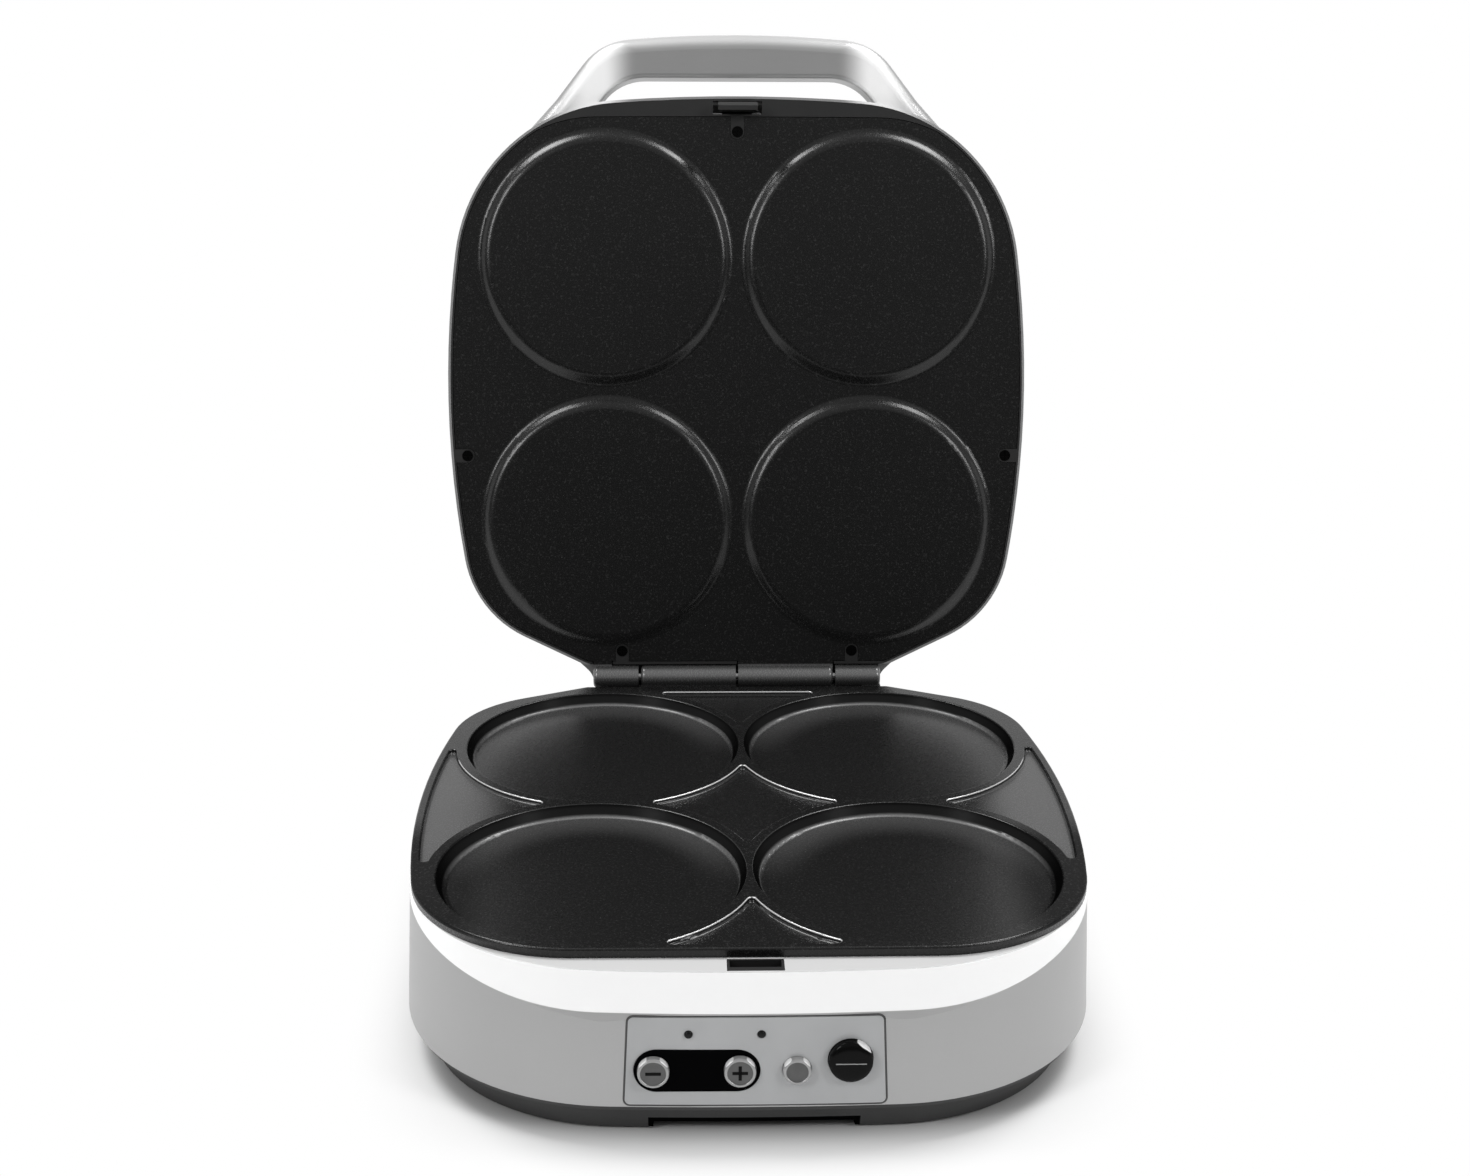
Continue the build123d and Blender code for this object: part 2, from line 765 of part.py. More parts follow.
def make_handle():
    half = [
        (handle_root_half, -handle_root_y),
        (handle_knee_half, -handle_knee_y),
        (handle_end_half, -handle_end_y),
    ]
    right = Polyline(*half)
    left = Polyline(*[(-x, y) for x, y in half])
    back = Line(*both_sides(*half[0]))
    front = ThreePointArc(half[2], (0, -handle_front), (-handle_end_half, -handle_end_y))
    outline = make_face(Wire(right.edges() + front.edges() + left.edges() + back.edges()).edges())
    outline = fillet(near(outline, both_sides(*half[1])), handle_knee_round)
    outline = fillet(near(outline, both_sides(*half[2])), handle_end_round)
    low = lid_face_z + handle_bottom
    bar = slab(outline, low, low + handle_height)
    rims = bar.faces().filter_by(Axis.Z).edges()
    free_rims = [edge for edge in rims if edge.center().Y < -handle_root_y - tiny]
    bar = fillet(free_rims, handle_edge_round)
    grip = [(grip_root_half, 0), (grip_half, -grip_front)]
    opening = make_face(Polyline(*mirrored(grip), close=True).edges())
    opening = fillet(near(opening, both_sides(*grip[1])), grip_round)
    bar -= slab(opening, low - overrun, low + handle_height + overrun)
    rims = bar.faces().filter_by(Axis.Z).edges()
    ahead = [edge for edge in rims if -grip_front - tiny < edge.center().Y < -handle_root_y - tiny]
    inner_rims = [edge for edge in ahead if abs(edge.center().X) < grip_root_half]
    return fillet(inner_rims, grip_edge_round)


def make_lid_shell():
    boss_low = lid_face_z + frame_height + fit_gap
    top_z = lid_face_z + lid_height
    outer = pillow(0.0, 0.0) + hood(0.0, 0.0)
    hollow = pillow(lid_wall, lid_wall) + hood(lid_wall, lid_wall)
    shell = outer + make_handle() - hollow
    for x, y, _ in tongue_places():
        shell += post(x, y, boss_low, top_z, shell_boss_radius) & outer
        shell -= post(x, y, boss_low - overrun, lid_face_z + screw_length + screw_end_gap, screw_radius)
    lip_rim = body_outline(rim_curve, -lid_lip)
    shell -= slab(lip_rim, lid_face_z - overrun, lid_face_z + frame_height)
    shell -= block(-cover_half, cover_half, plate_front, neck_end_y, 0, cover_z)
    return shell - block(-body_half_width, body_half_width, apron_back, neck_end_y, 0, cover_z)


# Latch: a sprung hook on the lid and its catch in the housing's front ledge
def make_latch_hook():
    toe_low = lid_face_z - hook_toe_low
    toe_high = lid_face_z - hook_toe_high
    stem = block(-hook_stem_half, hook_stem_half, -hook_stem_front, -hook_back, toe_low, pivot_z)
    toe_side = [
        (-hook_back, toe_low),
        (-hook_stem_front, toe_low),
        (-hook_toe_front, toe_low + hook_lead),
        (-hook_toe_front, toe_high),
        (-hook_back, toe_high),
    ]
    toe_face = Plane.YZ * make_face(Polyline(*toe_side, close=True).edges())
    toe = extrude(toe_face, amount=hook_half, both=True)
    toe = chamfer(toe.faces().sort_by(Axis.Y)[0].edges(), hook_chamfer)
    eye = rod(-hook_stem_half, hook_stem_half, -pivot_y, pivot_z, hook_eye_radius)
    bore = rod(-hook_half, hook_half, -pivot_y, pivot_z, pivot_pin_radius + pivot_fit)
    return stem + toe + eye - bore


def make_latch_pin():
    reach = recess_half + ear_thickness
    return rod(-reach, reach, -pivot_y, pivot_z, pivot_pin_radius)


def make_latch_spring():
    """A torsion coil on the latch pin, beside the hook's eye."""
    start_x = hook_stem_half + fit_gap + coil_wire
    length = coil_turns * coil_pitch
    centre = (start_x, -pivot_y, pivot_z)
    path = Helix(coil_pitch, length, coil_radius, center=centre, direction=(1, 0, 0))
    return sweep(Plane(origin=path @ 0, z_dir=path % 0) * Circle(coil_wire), path=path, is_frenet=True)


def make_latch_catch():
    """The black cup that lines the notch in the ledge, with the bar the hook snaps under."""
    top = ledge_z - catch_drop
    low = ledge_z - catch_height
    half = notch_half - catch_fit
    front = notch_front - catch_fit
    rear = notch_rear + catch_fit
    cup = block(-half, half, -front, -rear, low, top)
    inner_half = half - catch_wall
    cup -= block(-inner_half, inner_half, catch_wall - front, -rear - catch_wall, low + catch_wall, top)
    bar_low = lid_face_z - hook_toe_high + catch_gap
    bar = block(-half, half, -front, catch_bite - hook_toe_front, bar_low, bar_low + catch_bar)
    return cup + bar


# Housing: the silver body with its leaning front band
def body_solid(inset, low, high):
    """The drafted wall cut by the more strongly leaning band, both inset alike."""
    wall_low = body_outline(wall_curve, bottom_gain - inset)
    wall_high = body_outline(wall_curve, top_gain - inset)
    band_low = body_outline(rim_curve, band_gain - inset)
    band_high = body_outline(rim_curve, -inset)
    drafted = ramp(wall_low, housing_bottom, wall_high, ledge_z)
    banded = ramp(band_low, housing_bottom, band_high, ledge_z)
    solid = drafted & banded
    span = 3 * body_half_width
    return solid & block(-span, span, -span, span, low, high)


def neck_solid(inset, high):
    high_gain = (shelf_z - high) * tan(radians(wall_draft))
    return ramp(neck_outline(neck_gain - inset), housing_bottom, neck_outline(high_gain - inset), high)


def rear_plane():
    """The leaning plane of the rear wall, at the height of the bushing."""
    lean = radians(wall_draft)
    y = neck_end_y + (shelf_z - gland_height) * tan(lean)
    return Plane(origin=(gland_x, y, gland_height), x_dir=(-1, 0, 0), z_dir=(0, cos(lean), sin(lean)))


def panel_plane():
    """The leaning plane of the front wall, at the middle of the control panel."""
    lean = radians(wall_draft)
    y = wall_front + top_gain + (ledge_z - panel_centre_z) * tan(lean)
    return Plane(origin=(0, -y, panel_centre_z), x_dir=(1, 0, 0), z_dir=(0, -cos(lean), sin(lean)))


def behind(face, near_depth, far_depth):
    """The face of the panel's plane, thickened from one depth behind that plane to another."""
    solid = extrude(Pos(0, 0, -far_depth) * face, amount=far_depth - near_depth, dir=(0, 0, 1))
    return panel_plane().location * solid


def panel_face(grow):
    half = [
        (panel_bottom_width / 2 + grow, -panel_height / 2 - grow),
        (panel_top_width / 2 + grow, panel_height / 2 + grow),
    ]
    face = make_face(Polyline(*mirrored(half), close=True).edges())
    return fillet(face.vertices(), panel_corner + grow / 2)


def tray_boss_places():
    places = []
    for x in (-boss_x, boss_x):
        places += [(x, -boss_front_y), (x, boss_rear_y)]
    return places


def make_base_housing():
    span = 3 * body_half_width
    body = body_solid(0.0, housing_bottom, ledge_z)
    outer = body + neck_solid(0.0, shelf_z)
    hollow = body_solid(wall, 0, flange_under_z) + neck_solid(wall, shelf_z - flange)
    opening = body_outline(plate_curve, -flange_inset)
    for x, y in cavity_centres:
        opening += Pos(x, y) * Circle(cavity_radius + cup_wall + cup_fit)
    housing = outer - hollow - slab(opening, 0, 2 * ledge_z)
    ledge = housing.faces().filter_by(Axis.Z).sort_by(Axis.Z)[-1]
    housing = fillet(ledge.outer_wire().edges(), ledge_edge_round)
    notch_low = ledge_z - catch_height
    housing -= block(-notch_half, notch_half, -notch_front, -notch_rear, notch_low, 2 * ledge_z)
    housing -= behind(panel_face(panel_edge_gap), -overrun, panel_seat)
    housing -= behind(panel_face(-panel_seat_margin), -overrun, 2 * overrun)
    boss_low = tray_floor_z + fit_gap
    rib_low = housing_bottom + boss_rib_low
    for x, y in tray_boss_places():
        side = 1 if x > 0 else -1
        x0, x1 = sorted((x, side * span))
        rib = block(x0, x1, y - boss_rib / 2, y + boss_rib / 2, rib_low, boss_low + boss_height) & outer
        housing += post(x, y, boss_low, boss_low + boss_height, boss_radius) + rib
        housing -= post(x, y, boss_low, boss_low + tray_screw_length, screw_radius)
    hole = extrude(rear_plane() * Circle(gland_hole), amount=2 * wall, both=True)
    return housing - hole


# Bottom tray with a shadow gap above the table, a front arch and four feet
def foot_places():
    return [(side * foot_x, y) for side in (-1, 1) for y in (-foot_front_y, foot_rear_y)]


def tray_outline(inset):
    return body_outline(wall_curve, bottom_gain - inset)


def make_bottom_tray():
    flange_low = tray_top_z - tray_flange
    outer = ramp(tray_outline(skirt_bottom_inset), tray_low_z, tray_outline(skirt_top_inset), flange_low)
    rear_skirt = neck_outline(neck_gain - skirt_top_inset)
    outer += slab(rear_skirt, tray_low_z, flange_low)
    rim = tray_outline(tray_flange_inset) + neck_outline(neck_gain - tray_flange_inset)
    outer += slab(rim, flange_low, tray_top_z)
    hollow_low = tray_outline(skirt_bottom_inset + tray_wall)
    hollow = ramp(hollow_low, tray_floor_z, tray_outline(skirt_top_inset + tray_wall), tray_top_z)
    hollow += slab(neck_outline(neck_gain - skirt_top_inset - tray_wall), tray_floor_z, tray_top_z)
    arch = block(-front_arch_half, front_arch_half, -2 * wall_front, -front_arch_rear, 0, front_arch_top)
    arch_half = front_arch_half + tray_wall
    arch_rear = front_arch_rear - tray_wall
    cover = block(-arch_half, arch_half, -2 * wall_front, -arch_rear, 0, front_arch_top + tray_wall)
    tray = outer - (hollow - cover) - arch
    for x, y in foot_places():
        tray -= post(x, y, 0, tray_low_z + foot_seat, foot_radius)
    for x, y in tray_boss_places():
        tray -= post(x, y, 0, tray_top_z, screw_radius + screw_fit)
        tray -= post(x, y, 0, tray_low_z + tray_screw_head_height, tray_screw_head + screw_fit)
    for x, y in power_post_places():
        tray += post(x, y, tray_floor_z, tray_floor_z + power_board_rise, post_radius)
        tray -= post(x, y, tray_floor_z, tray_floor_z + power_board_rise, board_screw_radius)
    return tray


def make_rubber_feet():
    top = tray_low_z + foot_seat
    foot = post(0, 0, 0, top, foot_radius)
    foot = fillet(foot.edges().filter_by(GeomType.CIRCLE).sort_by(Axis.Z)[0], foot_round)
    return Compound(children=[Pos(x, y) * foot for x, y in foot_places()])


def make_tray_screws():
    length = tray_screw_length
    upright = screw(length, screw_radius, tray_screw_head, tray_screw_head_height, cross_slot_depth)
    flipped = Pos(0, 0, tray_low_z) * Rot(180, 0, 0) * upright
    return Compound(children=[Pos(x, y) * flipped for x, y in tray_boss_places()])


# Control panel: buttons, lights, display window and the board behind them
def disc_face(x, rise, radius):
    return Pos(x, rise) * Circle(radius)


def window_face(grow):
    return Pos(window_x, window_rise) * SlotOverall(window_length + 2 * grow, window_width + 2 * grow)


def post_places():
    return [(sx * post_x, sy * post_rise) for sx in (-1, 1) for sy in (-1, 1)]


def panel_buttons():
    """Each button: name, x, rise, radius, how far it stands out, and what holds it back."""
    window_back = panel_seat + window_flange_thickness
    return [
        ("minus_button", minus_x, window_rise, small_button_radius, small_button_proud, window_back),
        ("plus_button", plus_x, window_rise, small_button_radius, small_button_proud, window_back),
        ("extra_button", extra_x, extra_rise, extra_radius, small_button_proud, panel_seat),
        ("start_button", start_x, start_rise, start_radius, start_proud, panel_seat),
    ]


def make_control_panel():
    body = behind(panel_face(0.0), -overrun, panel_seat)
    body = body & body_solid(-panel_stand, housing_bottom, ledge_z)
    body -= behind(window_face(window_fit), -overrun, overrun)
    for name, x, rise, radius, _, _ in panel_buttons():
        if name in ("extra_button", "start_button"):
            body -= behind(disc_face(x, rise, radius + button_fit), -overrun, overrun)
    for x in (power_light_x, ready_light_x):
        body -= behind(disc_face(x, light_rise, light_radius + light_fit), -overrun, overrun)
    for x, rise in post_places():
        body += behind(disc_face(x, rise, post_radius), panel_seat, board_depth)
        body -= behind(disc_face(x, rise, board_screw_radius), panel_seat + tiny, board_depth)
    return body


def make_display_window():
    window = behind(window_face(0.0), -window_proud, panel_seat)
    window += behind(window_face(window_flange), panel_seat, panel_seat + window_flange_thickness)
    for x in (minus_x, plus_x):
        window -= behind(disc_face(x, window_rise, small_button_radius + button_fit), -overrun, overrun)
    for x, rise in post_places():
        window -= behind(disc_face(x, rise, post_radius + window_fit), panel_seat, overrun)
    return window


def make_button(x, rise, radius, proud, back):
    """A push button: cap, holding flange behind the panel and stem to the switch."""
    flange_near = back + fit_gap
    flange_far = flange_near + button_flange_thickness
    cap = extrude(disc_face(x, rise, radius), amount=proud + flange_near)
    cap = fillet(cap.faces().sort_by(Axis.Z)[-1].edges(), button_edge_round)
    cap = panel_plane().location * Pos(0, 0, -flange_near) * cap
    rim = behind(disc_face(x, rise, radius + button_flange), flange_near, flange_far)
    stem_end = plunger_depth - button_travel - fit_gap
    return cap + rim + behind(disc_face(x, rise, stem_radius), flange_far, stem_end)


def make_light(x):
    """A light: its dome in front of the panel and its body back to the board."""
    dome = extrude(disc_face(x, light_rise, light_radius), amount=light_proud + panel_seat)
    dome = fillet(dome.faces().sort_by(Axis.Z)[-1].edges(), light_dome_round)
    dome = panel_plane().location * Pos(0, 0, -panel_seat) * dome
    return dome + behind(disc_face(x, light_rise, light_radius + light_flange), panel_seat, board_depth)


def make_tact_switches():
    switches = []
    for _, x, rise, _, _, _ in panel_buttons():
        case = behind(Pos(x, rise) * Rectangle(switch_side, switch_side), switch_depth, board_depth)
        switches.append(case + behind(disc_face(x, rise, plunger_radius), plunger_depth, switch_depth))
    return Compound(children=switches)


def make_display_board():
    face = Pos(window_x, window_rise) * Rectangle(display_width, display_height)
    return behind(face, display_depth, board_depth)


def make_control_board():
    far = board_depth + board_thickness
    board = behind(Rectangle(2 * board_half, 2 * board_half_height), board_depth, far)
    board += behind(Rectangle(chip_side, chip_side), far, far + chip_height)
    for x, rise in post_places():
        board -= behind(disc_face(x, rise, board_screw_radius), board_depth, far)
    return board


def board_screw():
    length, height = board_screw_length, board_screw_height
    return screw(length, board_screw_radius, board_screw_head, height, board_screw_slot)


def make_board_screws():
    screws = []
    far = board_depth + board_thickness + board_screw_height
    for x, rise in post_places():
        screws.append(panel_plane().location * Pos(x, rise, -far) * Rot(180, 0, 0) * board_screw())
    top = tray_floor_z + power_board_rise + board_thickness + board_screw_height
    for x, y in power_post_places():
        screws.append(Pos(x, y, top) * board_screw())
    return Compound(children=screws)


# Heating: rod heaters, heat shields and the pieces that sense and limit the heat
def shield_face(grow):
    face = body_outline(plate_curve, grow - shield_inset)
    for x, y in cavity_centres:
        face += Pos(x, y) * Circle(cavity_radius + cup_wall + shield_cup_gap + grow)
    return face


def tail_holes(low, high):
    return [post(side * heater_gap_half, heater_half_y, low, high, tail_hole) for side in (-1, 1)]


def make_base_heat_shield():
    """A sheet pan under the plate, its flange clamped against the housing's ledge."""
    floor_low = shield_floor_z - shield_sheet
    flange_face = body_outline(rim_curve, -wall)
    pan = slab(shield_face(0.0), floor_low, flange_under_z - shield_sheet)
    pan += slab(flange_face + shield_face(0.0), flange_under_z - shield_sheet, flange_under_z)
    pan -= slab(shield_face(-shield_sheet), shield_floor_z, 2 * ledge_z)
    margin = notch_half + shield_notch_margin
    pan -= block(-margin, margin, -2 * wall_front, -notch_rear + shield_notch_margin, 0, ledge_z)
    for side in (-1, 1):
        pan -= post(side * plate_post_x, 0, floor_low, shield_floor_z, screw_radius)
    for hole in tail_holes(floor_low - overrun, shield_floor_z + overrun):
        pan -= hole
    return pan


def make_lid_heat_shield():
    """A sheet cover behind the lid plate, its open edge against the plate."""
    top = lid_shield_z + shield_sheet
    pan = slab(lid_plate_face(-lid_shield_inset), lid_back_z, top)
    pan -= slab(lid_plate_face(-lid_shield_inset - shield_sheet), 0, lid_shield_z)
    for side in (-1, 1):
        pan -= post(side * lid_post_x, 0, lid_shield_z, top, screw_radius)
    for hole in tail_holes(lid_shield_z - overrun, top + overrun):
        pan -= hole
    return pan


def shield_screw():
    return screw(shield_screw_length, screw_radius, screw_head_radius, screw_head_height, cross_slot_depth)


def make_shield_screws():
    seat = shield_floor_z - shield_sheet - screw_head_height
    flipped = Rot(180, 0, 0) * shield_screw()
    return Compound(children=[Pos(side * plate_post_x, 0, seat) * flipped for side in (-1, 1)])


def make_lid_shield_screws():
    seat = lid_shield_z + shield_sheet + screw_head_height
    return Compound(children=[Pos(side * lid_post_x, 0, seat) * shield_screw() for side in (-1, 1)])


def make_temperature_sensor():
    return post(0, 0, ledge_z - sensor_height, ledge_z, sensor_radius)


def make_thermal_fuse():
    saddle_low = ledge_z - fuse_saddle_thickness
    half_x, half_y = fuse_saddle_x / 2, fuse_saddle_y / 2
    saddle = block(fuse_x - half_x, fuse_x + half_x, -half_y, half_y, saddle_low, ledge_z)
    middle = saddle_low - fuse_radius + fuse_saddle_thickness / 2
    return saddle + rod(fuse_x - fuse_length / 2, fuse_x + fuse_length / 2, 0, middle, fuse_radius)


def make_lid_thermostat():
    return post(0, 0, lid_back_z, lid_back_z + thermostat_height, thermostat_radius)


# Power board on posts in the tray, and the bushing in the rear wall
def power_post_places():
    rows = [power_board_centre_y + side * power_post_y for side in (-1, 1)]
    return [(side * power_post_x, y) for side in (-1, 1) for y in rows]


power_board_top = tray_floor_z + power_board_rise + board_thickness


def make_power_board():
    low = tray_floor_z + power_board_rise
    half_x, half_y = power_board_x / 2, power_board_y / 2
    y0, y1 = power_board_centre_y - half_y, power_board_centre_y + half_y
    board = block(-half_x, half_x, y0, y1, low, power_board_top)
    for share_x, share_y in can_place_shares:
        x, y = share_x * half_x, power_board_centre_y + share_y * half_y
        board += post(x, y, power_board_top, power_board_top + can_height, can_radius)
    for x, y in power_post_places():
        board -= post(x, y, low, power_board_top, board_screw_radius)
    return board


def make_power_relay():
    x, y = -relay_offset_x, power_board_centre_y
    case = Pos(x, y, power_board_top + relay_z / 2) * Box(relay_x, relay_y, relay_z)
    return chamfer(case.faces().sort_by(Axis.Z)[-1].edges(), fit_gap)


def make_terminal_block():
    x, y = terminal_offset_x, power_board_centre_y + terminal_offset_y
    top = power_board_top + terminal_z
    case = Pos(x, y, power_board_top + terminal_z / 2) * Box(terminal_x, terminal_y, terminal_z)
    pitch = terminal_x / terminal_cells
    for number in range(terminal_cells):
        cell_x = x + (number - (terminal_cells - 1) / 2) * pitch
        case -= post(cell_x, y, top - terminal_z / 2, top, terminal_hole)
    return case


def make_cord_gland():
    """A bushing in the rear wall: collar outside, throat through the wall, locking ring inside."""
    plane = rear_plane()
    collar = extrude(plane * Circle(gland_collar), amount=gland_collar_length)
    collar = fillet(collar.faces().sort_by(Axis.Y)[-1].edges(), gland_round)
    inner = plane.offset(-wall)
    throat = extrude(inner * Circle(gland_hole), amount=wall)
    lock = extrude(inner.offset(-gland_lock_length) * Circle(gland_lock), amount=gland_lock_length)
    bore = extrude(plane * Circle(gland_bore), amount=2 * gland_collar, both=True)
    return collar + throat + lock - bore


# Build every piece, open the lid and set the whole on its own middle
base_pieces = {
    "base_housing": make_base_housing,
    "bottom_tray": make_bottom_tray,
    "rubber_feet": make_rubber_feet,
    "tray_screws": make_tray_screws,
    "base_plate": make_base_plate,
    "base_heater": lambda: heater_loop(base_heater_z(), -heater_tail),
    "base_heat_shield": make_base_heat_shield,
    "shield_screws": make_shield_screws,
    "hinge_pin": make_hinge_pin,
    "latch_catch": make_latch_catch,
    "control_panel": make_control_panel,
    "display_window": make_display_window,
    "display_board": make_display_board,
    "power_light": lambda: make_light(power_light_x),
    "ready_light": lambda: make_light(ready_light_x),
    "control_board": make_control_board,
    "tact_switches": make_tact_switches,
    "board_screws": make_board_screws,
    "temperature_sensor": make_temperature_sensor,
    "thermal_fuse": make_thermal_fuse,
    "power_board": make_power_board,
    "power_relay": make_power_relay,
    "terminal_block": make_terminal_block,
    "cord_gland": make_cord_gland,
}
lid_pieces = {
    "lid_shell": make_lid_shell,
    "lid_frame": make_lid_frame,
    "lid_plate": make_lid_plate,
    "lid_heater": lambda: heater_loop(lid_heater_z(), heater_tail),
    "lid_heat_shield": make_lid_heat_shield,
    "lid_shield_screws": make_lid_shield_screws,
    "lid_thermostat": make_lid_thermostat,
    "lid_screws": make_lid_screws,
    "latch_pin": make_latch_pin,
    "latch_spring": make_latch_spring,
    "latch_hook": make_latch_hook,
}

pieces = {name: make() for name, make in base_pieces.items()}
for name, *sizes in panel_buttons():
    pieces[name] = make_button(*sizes)
for name, make in lid_pieces.items():
    pieces[name] = opened(make())

boxes = [piece.bounding_box() for piece in pieces.values()]
rear_y = max(box.max.Y for box in boxes)
front_y = min(box.min.Y for box in boxes)
shift_y = -(rear_y + front_y) / 2
os.makedirs("parts", exist_ok=True)
for name, piece in pieces.items():
    export_step(Pos(0, shift_y, 0) * piece, "parts/" + name + ".step")
print("moved along Y by", shift_y, "; depth", rear_y - front_y)
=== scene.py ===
import bpy
import bmesh
import json
import math
from mathutils import Matrix, Vector
from mathutils.geometry import convex_hull_2d


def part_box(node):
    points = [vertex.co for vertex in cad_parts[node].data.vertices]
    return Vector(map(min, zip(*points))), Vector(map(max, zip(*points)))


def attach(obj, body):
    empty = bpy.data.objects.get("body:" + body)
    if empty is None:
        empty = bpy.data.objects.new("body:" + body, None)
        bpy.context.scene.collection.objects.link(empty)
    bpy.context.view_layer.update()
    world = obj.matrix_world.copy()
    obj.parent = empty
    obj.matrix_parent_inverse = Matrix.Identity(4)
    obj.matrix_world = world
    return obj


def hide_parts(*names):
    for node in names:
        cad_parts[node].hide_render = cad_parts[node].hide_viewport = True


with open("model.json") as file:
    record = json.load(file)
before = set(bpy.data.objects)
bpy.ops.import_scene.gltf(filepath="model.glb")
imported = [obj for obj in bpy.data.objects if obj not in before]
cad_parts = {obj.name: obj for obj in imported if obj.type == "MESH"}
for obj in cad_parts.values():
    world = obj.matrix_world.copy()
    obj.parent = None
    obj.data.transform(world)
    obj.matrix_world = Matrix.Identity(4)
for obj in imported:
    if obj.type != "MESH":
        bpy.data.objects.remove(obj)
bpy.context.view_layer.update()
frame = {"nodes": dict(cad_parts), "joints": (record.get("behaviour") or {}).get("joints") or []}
nodes = frame["nodes"]
scene = bpy.context.scene
white = (1.0, 1.0, 1.0)
evenly = (1.0, 1.0, 1.0)  # the scale of a pattern that isn't stretched


def grey(level, tint=white):
    return tuple(level * part for part in tint)


# A shader socket that takes part in plain sums
class Wire:
    def __init__(self, shade, socket):
        self.shade = shade
        self.socket = socket

    def join(self, operation, first, second=0.0):
        return self.shade.node("ShaderNodeMath", {"operation": operation}, {0: first, 1: second})

    def __add__(self, other):
        return self.join("ADD", self, other)

    def __radd__(self, other):
        return self.join("ADD", other, self)

    def __sub__(self, other):
        return self.join("SUBTRACT", self, other)

    def __rsub__(self, other):
        return self.join("SUBTRACT", other, self)

    def __mul__(self, other):
        return self.join("MULTIPLY", self, other)

    def __rmul__(self, other):
        return self.join("MULTIPLY", other, self)

    def __truediv__(self, other):
        return self.join("DIVIDE", self, other)

    def __rtruediv__(self, other):
        return self.join("DIVIDE", other, self)

    def __abs__(self):
        return self.join("ABSOLUTE", self)

    def root(self):
        return self.join("SQRT", self)

    def sign(self):
        return self.join("SIGN", self)

    def most(self, other):
        return self.join("MAXIMUM", self, other)

    # 0 at start and 1 at end, smooth between, also where start is the higher
    def ramp(self, start, end):
        low, high = sorted((start, end))
        settings = {"interpolation_type": "SMOOTHSTEP"}
        sockets = {"Value": self, "From Min": low, "From Max": high}
        rising = self.shade.node("ShaderNodeMapRange", settings, sockets)
        return rising if start < end else 1.0 - rising

    # 0 at start, 1 from full to rest, and 0 again at end
    def between(self, start, full, rest, end):
        return self.ramp(start, full) * self.ramp(end, rest)


# A material or world under construction
class Shade:
    def __init__(self, owner):
        self.owner = owner
        owner.use_nodes = True
        self.tree = owner.node_tree
        self.tree.nodes.clear()
        self.kept = {}

    def node(self, kind, settings=None, sockets=None, out=0):
        made = self.tree.nodes.new(kind)
        for key, value in (settings or {}).items():
            setattr(made, key, value)
        for key, value in (sockets or {}).items():
            self.feed(made.inputs[key], value)
        return Wire(self, made.outputs[out]) if out is not None else made

    def feed(self, socket, value):
        if isinstance(value, Wire):
            self.tree.links.new(value.socket, socket)
        elif isinstance(value, tuple) and len(value) < len(socket.default_value):
            socket.default_value = (*value, 1.0)
        else:
            socket.default_value = value

    def keep(self, key, make):
        if key not in self.kept:
            self.kept[key] = make()
        return self.kept[key]

    # X, Y or Z of a node's vector, each node being made only once
    def split(self, letter, name, kind, out):
        vector = {0: self.keep(name, lambda: self.node(kind, out=out))}
        return self.keep(name + letter, lambda: self.node("ShaderNodeSeparateXYZ", None, vector, letter))

    def place(self):
        return self.keep("place", lambda: self.node("ShaderNodeTexCoord", out="Object"))

    def axis(self, letter):
        return self.split(letter, "place", "ShaderNodeTexCoord", "Object")

    def facing(self, letter):
        return self.split(letter, "facing", "ShaderNodeNewGeometry", "True Normal")

    # The part's own smooth normal, which turns with it
    def lean(self, letter):
        return self.split(letter, "lean", "ShaderNodeTexCoord", "Normal")

    def noise(self, size, detail=2.0, roughness=0.5, stretch=evenly):
        place = self.place()
        if stretch != evenly:
            place = self.node("ShaderNodeMapping", None, {"Vector": place, "Scale": stretch})
        sockets = {"Vector": place, "Scale": 1.0 / size, "Detail": detail, "Roughness": roughness}
        return self.node("ShaderNodeTexNoise", None, sockets)

    def blend(self, share, first, second):
        return self.node("ShaderNodeMix", {"data_type": "RGBA"}, {0: share, 6: first, 7: second}, 2)

    # A colour that wanders between two multiples of itself
    def mottled(self, share, colour, spread):
        darker, paler = (grey(part, colour) for part in spread)
        return self.blend(share, darker, paler)

    def bump(self, height, strength, depth):
        sockets = {"Height": height, "Strength": strength, "Distance": depth}
        return self.node("ShaderNodeBump", None, sockets)

    def ray(self, *kinds):
        seen = None
        for kind in kinds:
            wire = self.keep(kind, lambda: self.node("ShaderNodeLightPath", out=kind))
            seen = wire if seen is None else seen.most(wire)
        return seen

    # Where dulled is 1, the same surface has no reflection
    def finish(self, dulled=None, **sockets):
        named = {key.replace("_", " "): value for key, value in sockets.items()}
        surface = self.node("ShaderNodeBsdfPrincipled", None, named)
        if dulled:
            matt = self.node("ShaderNodeBsdfPrincipled", None, {**named, "Specular IOR Level": 0.0})
            surface = self.node("ShaderNodeMixShader", None, {0: dulled, 1: surface, 2: matt})
        self.node("ShaderNodeOutputMaterial", None, {"Surface": surface}, None)
        return self.owner


def newShade(name):
    return Shade(bpy.data.materials.new(name))


# Camera at the photograph's angle
cameraView = {
    "place": (-0.025586, -0.813077, 0.429564),
    "yaw": 1.535,
    "pitch": 18.845,
    "roll": 0.364,
    "lens": 50.26,
    "sensor": 36.0,
}


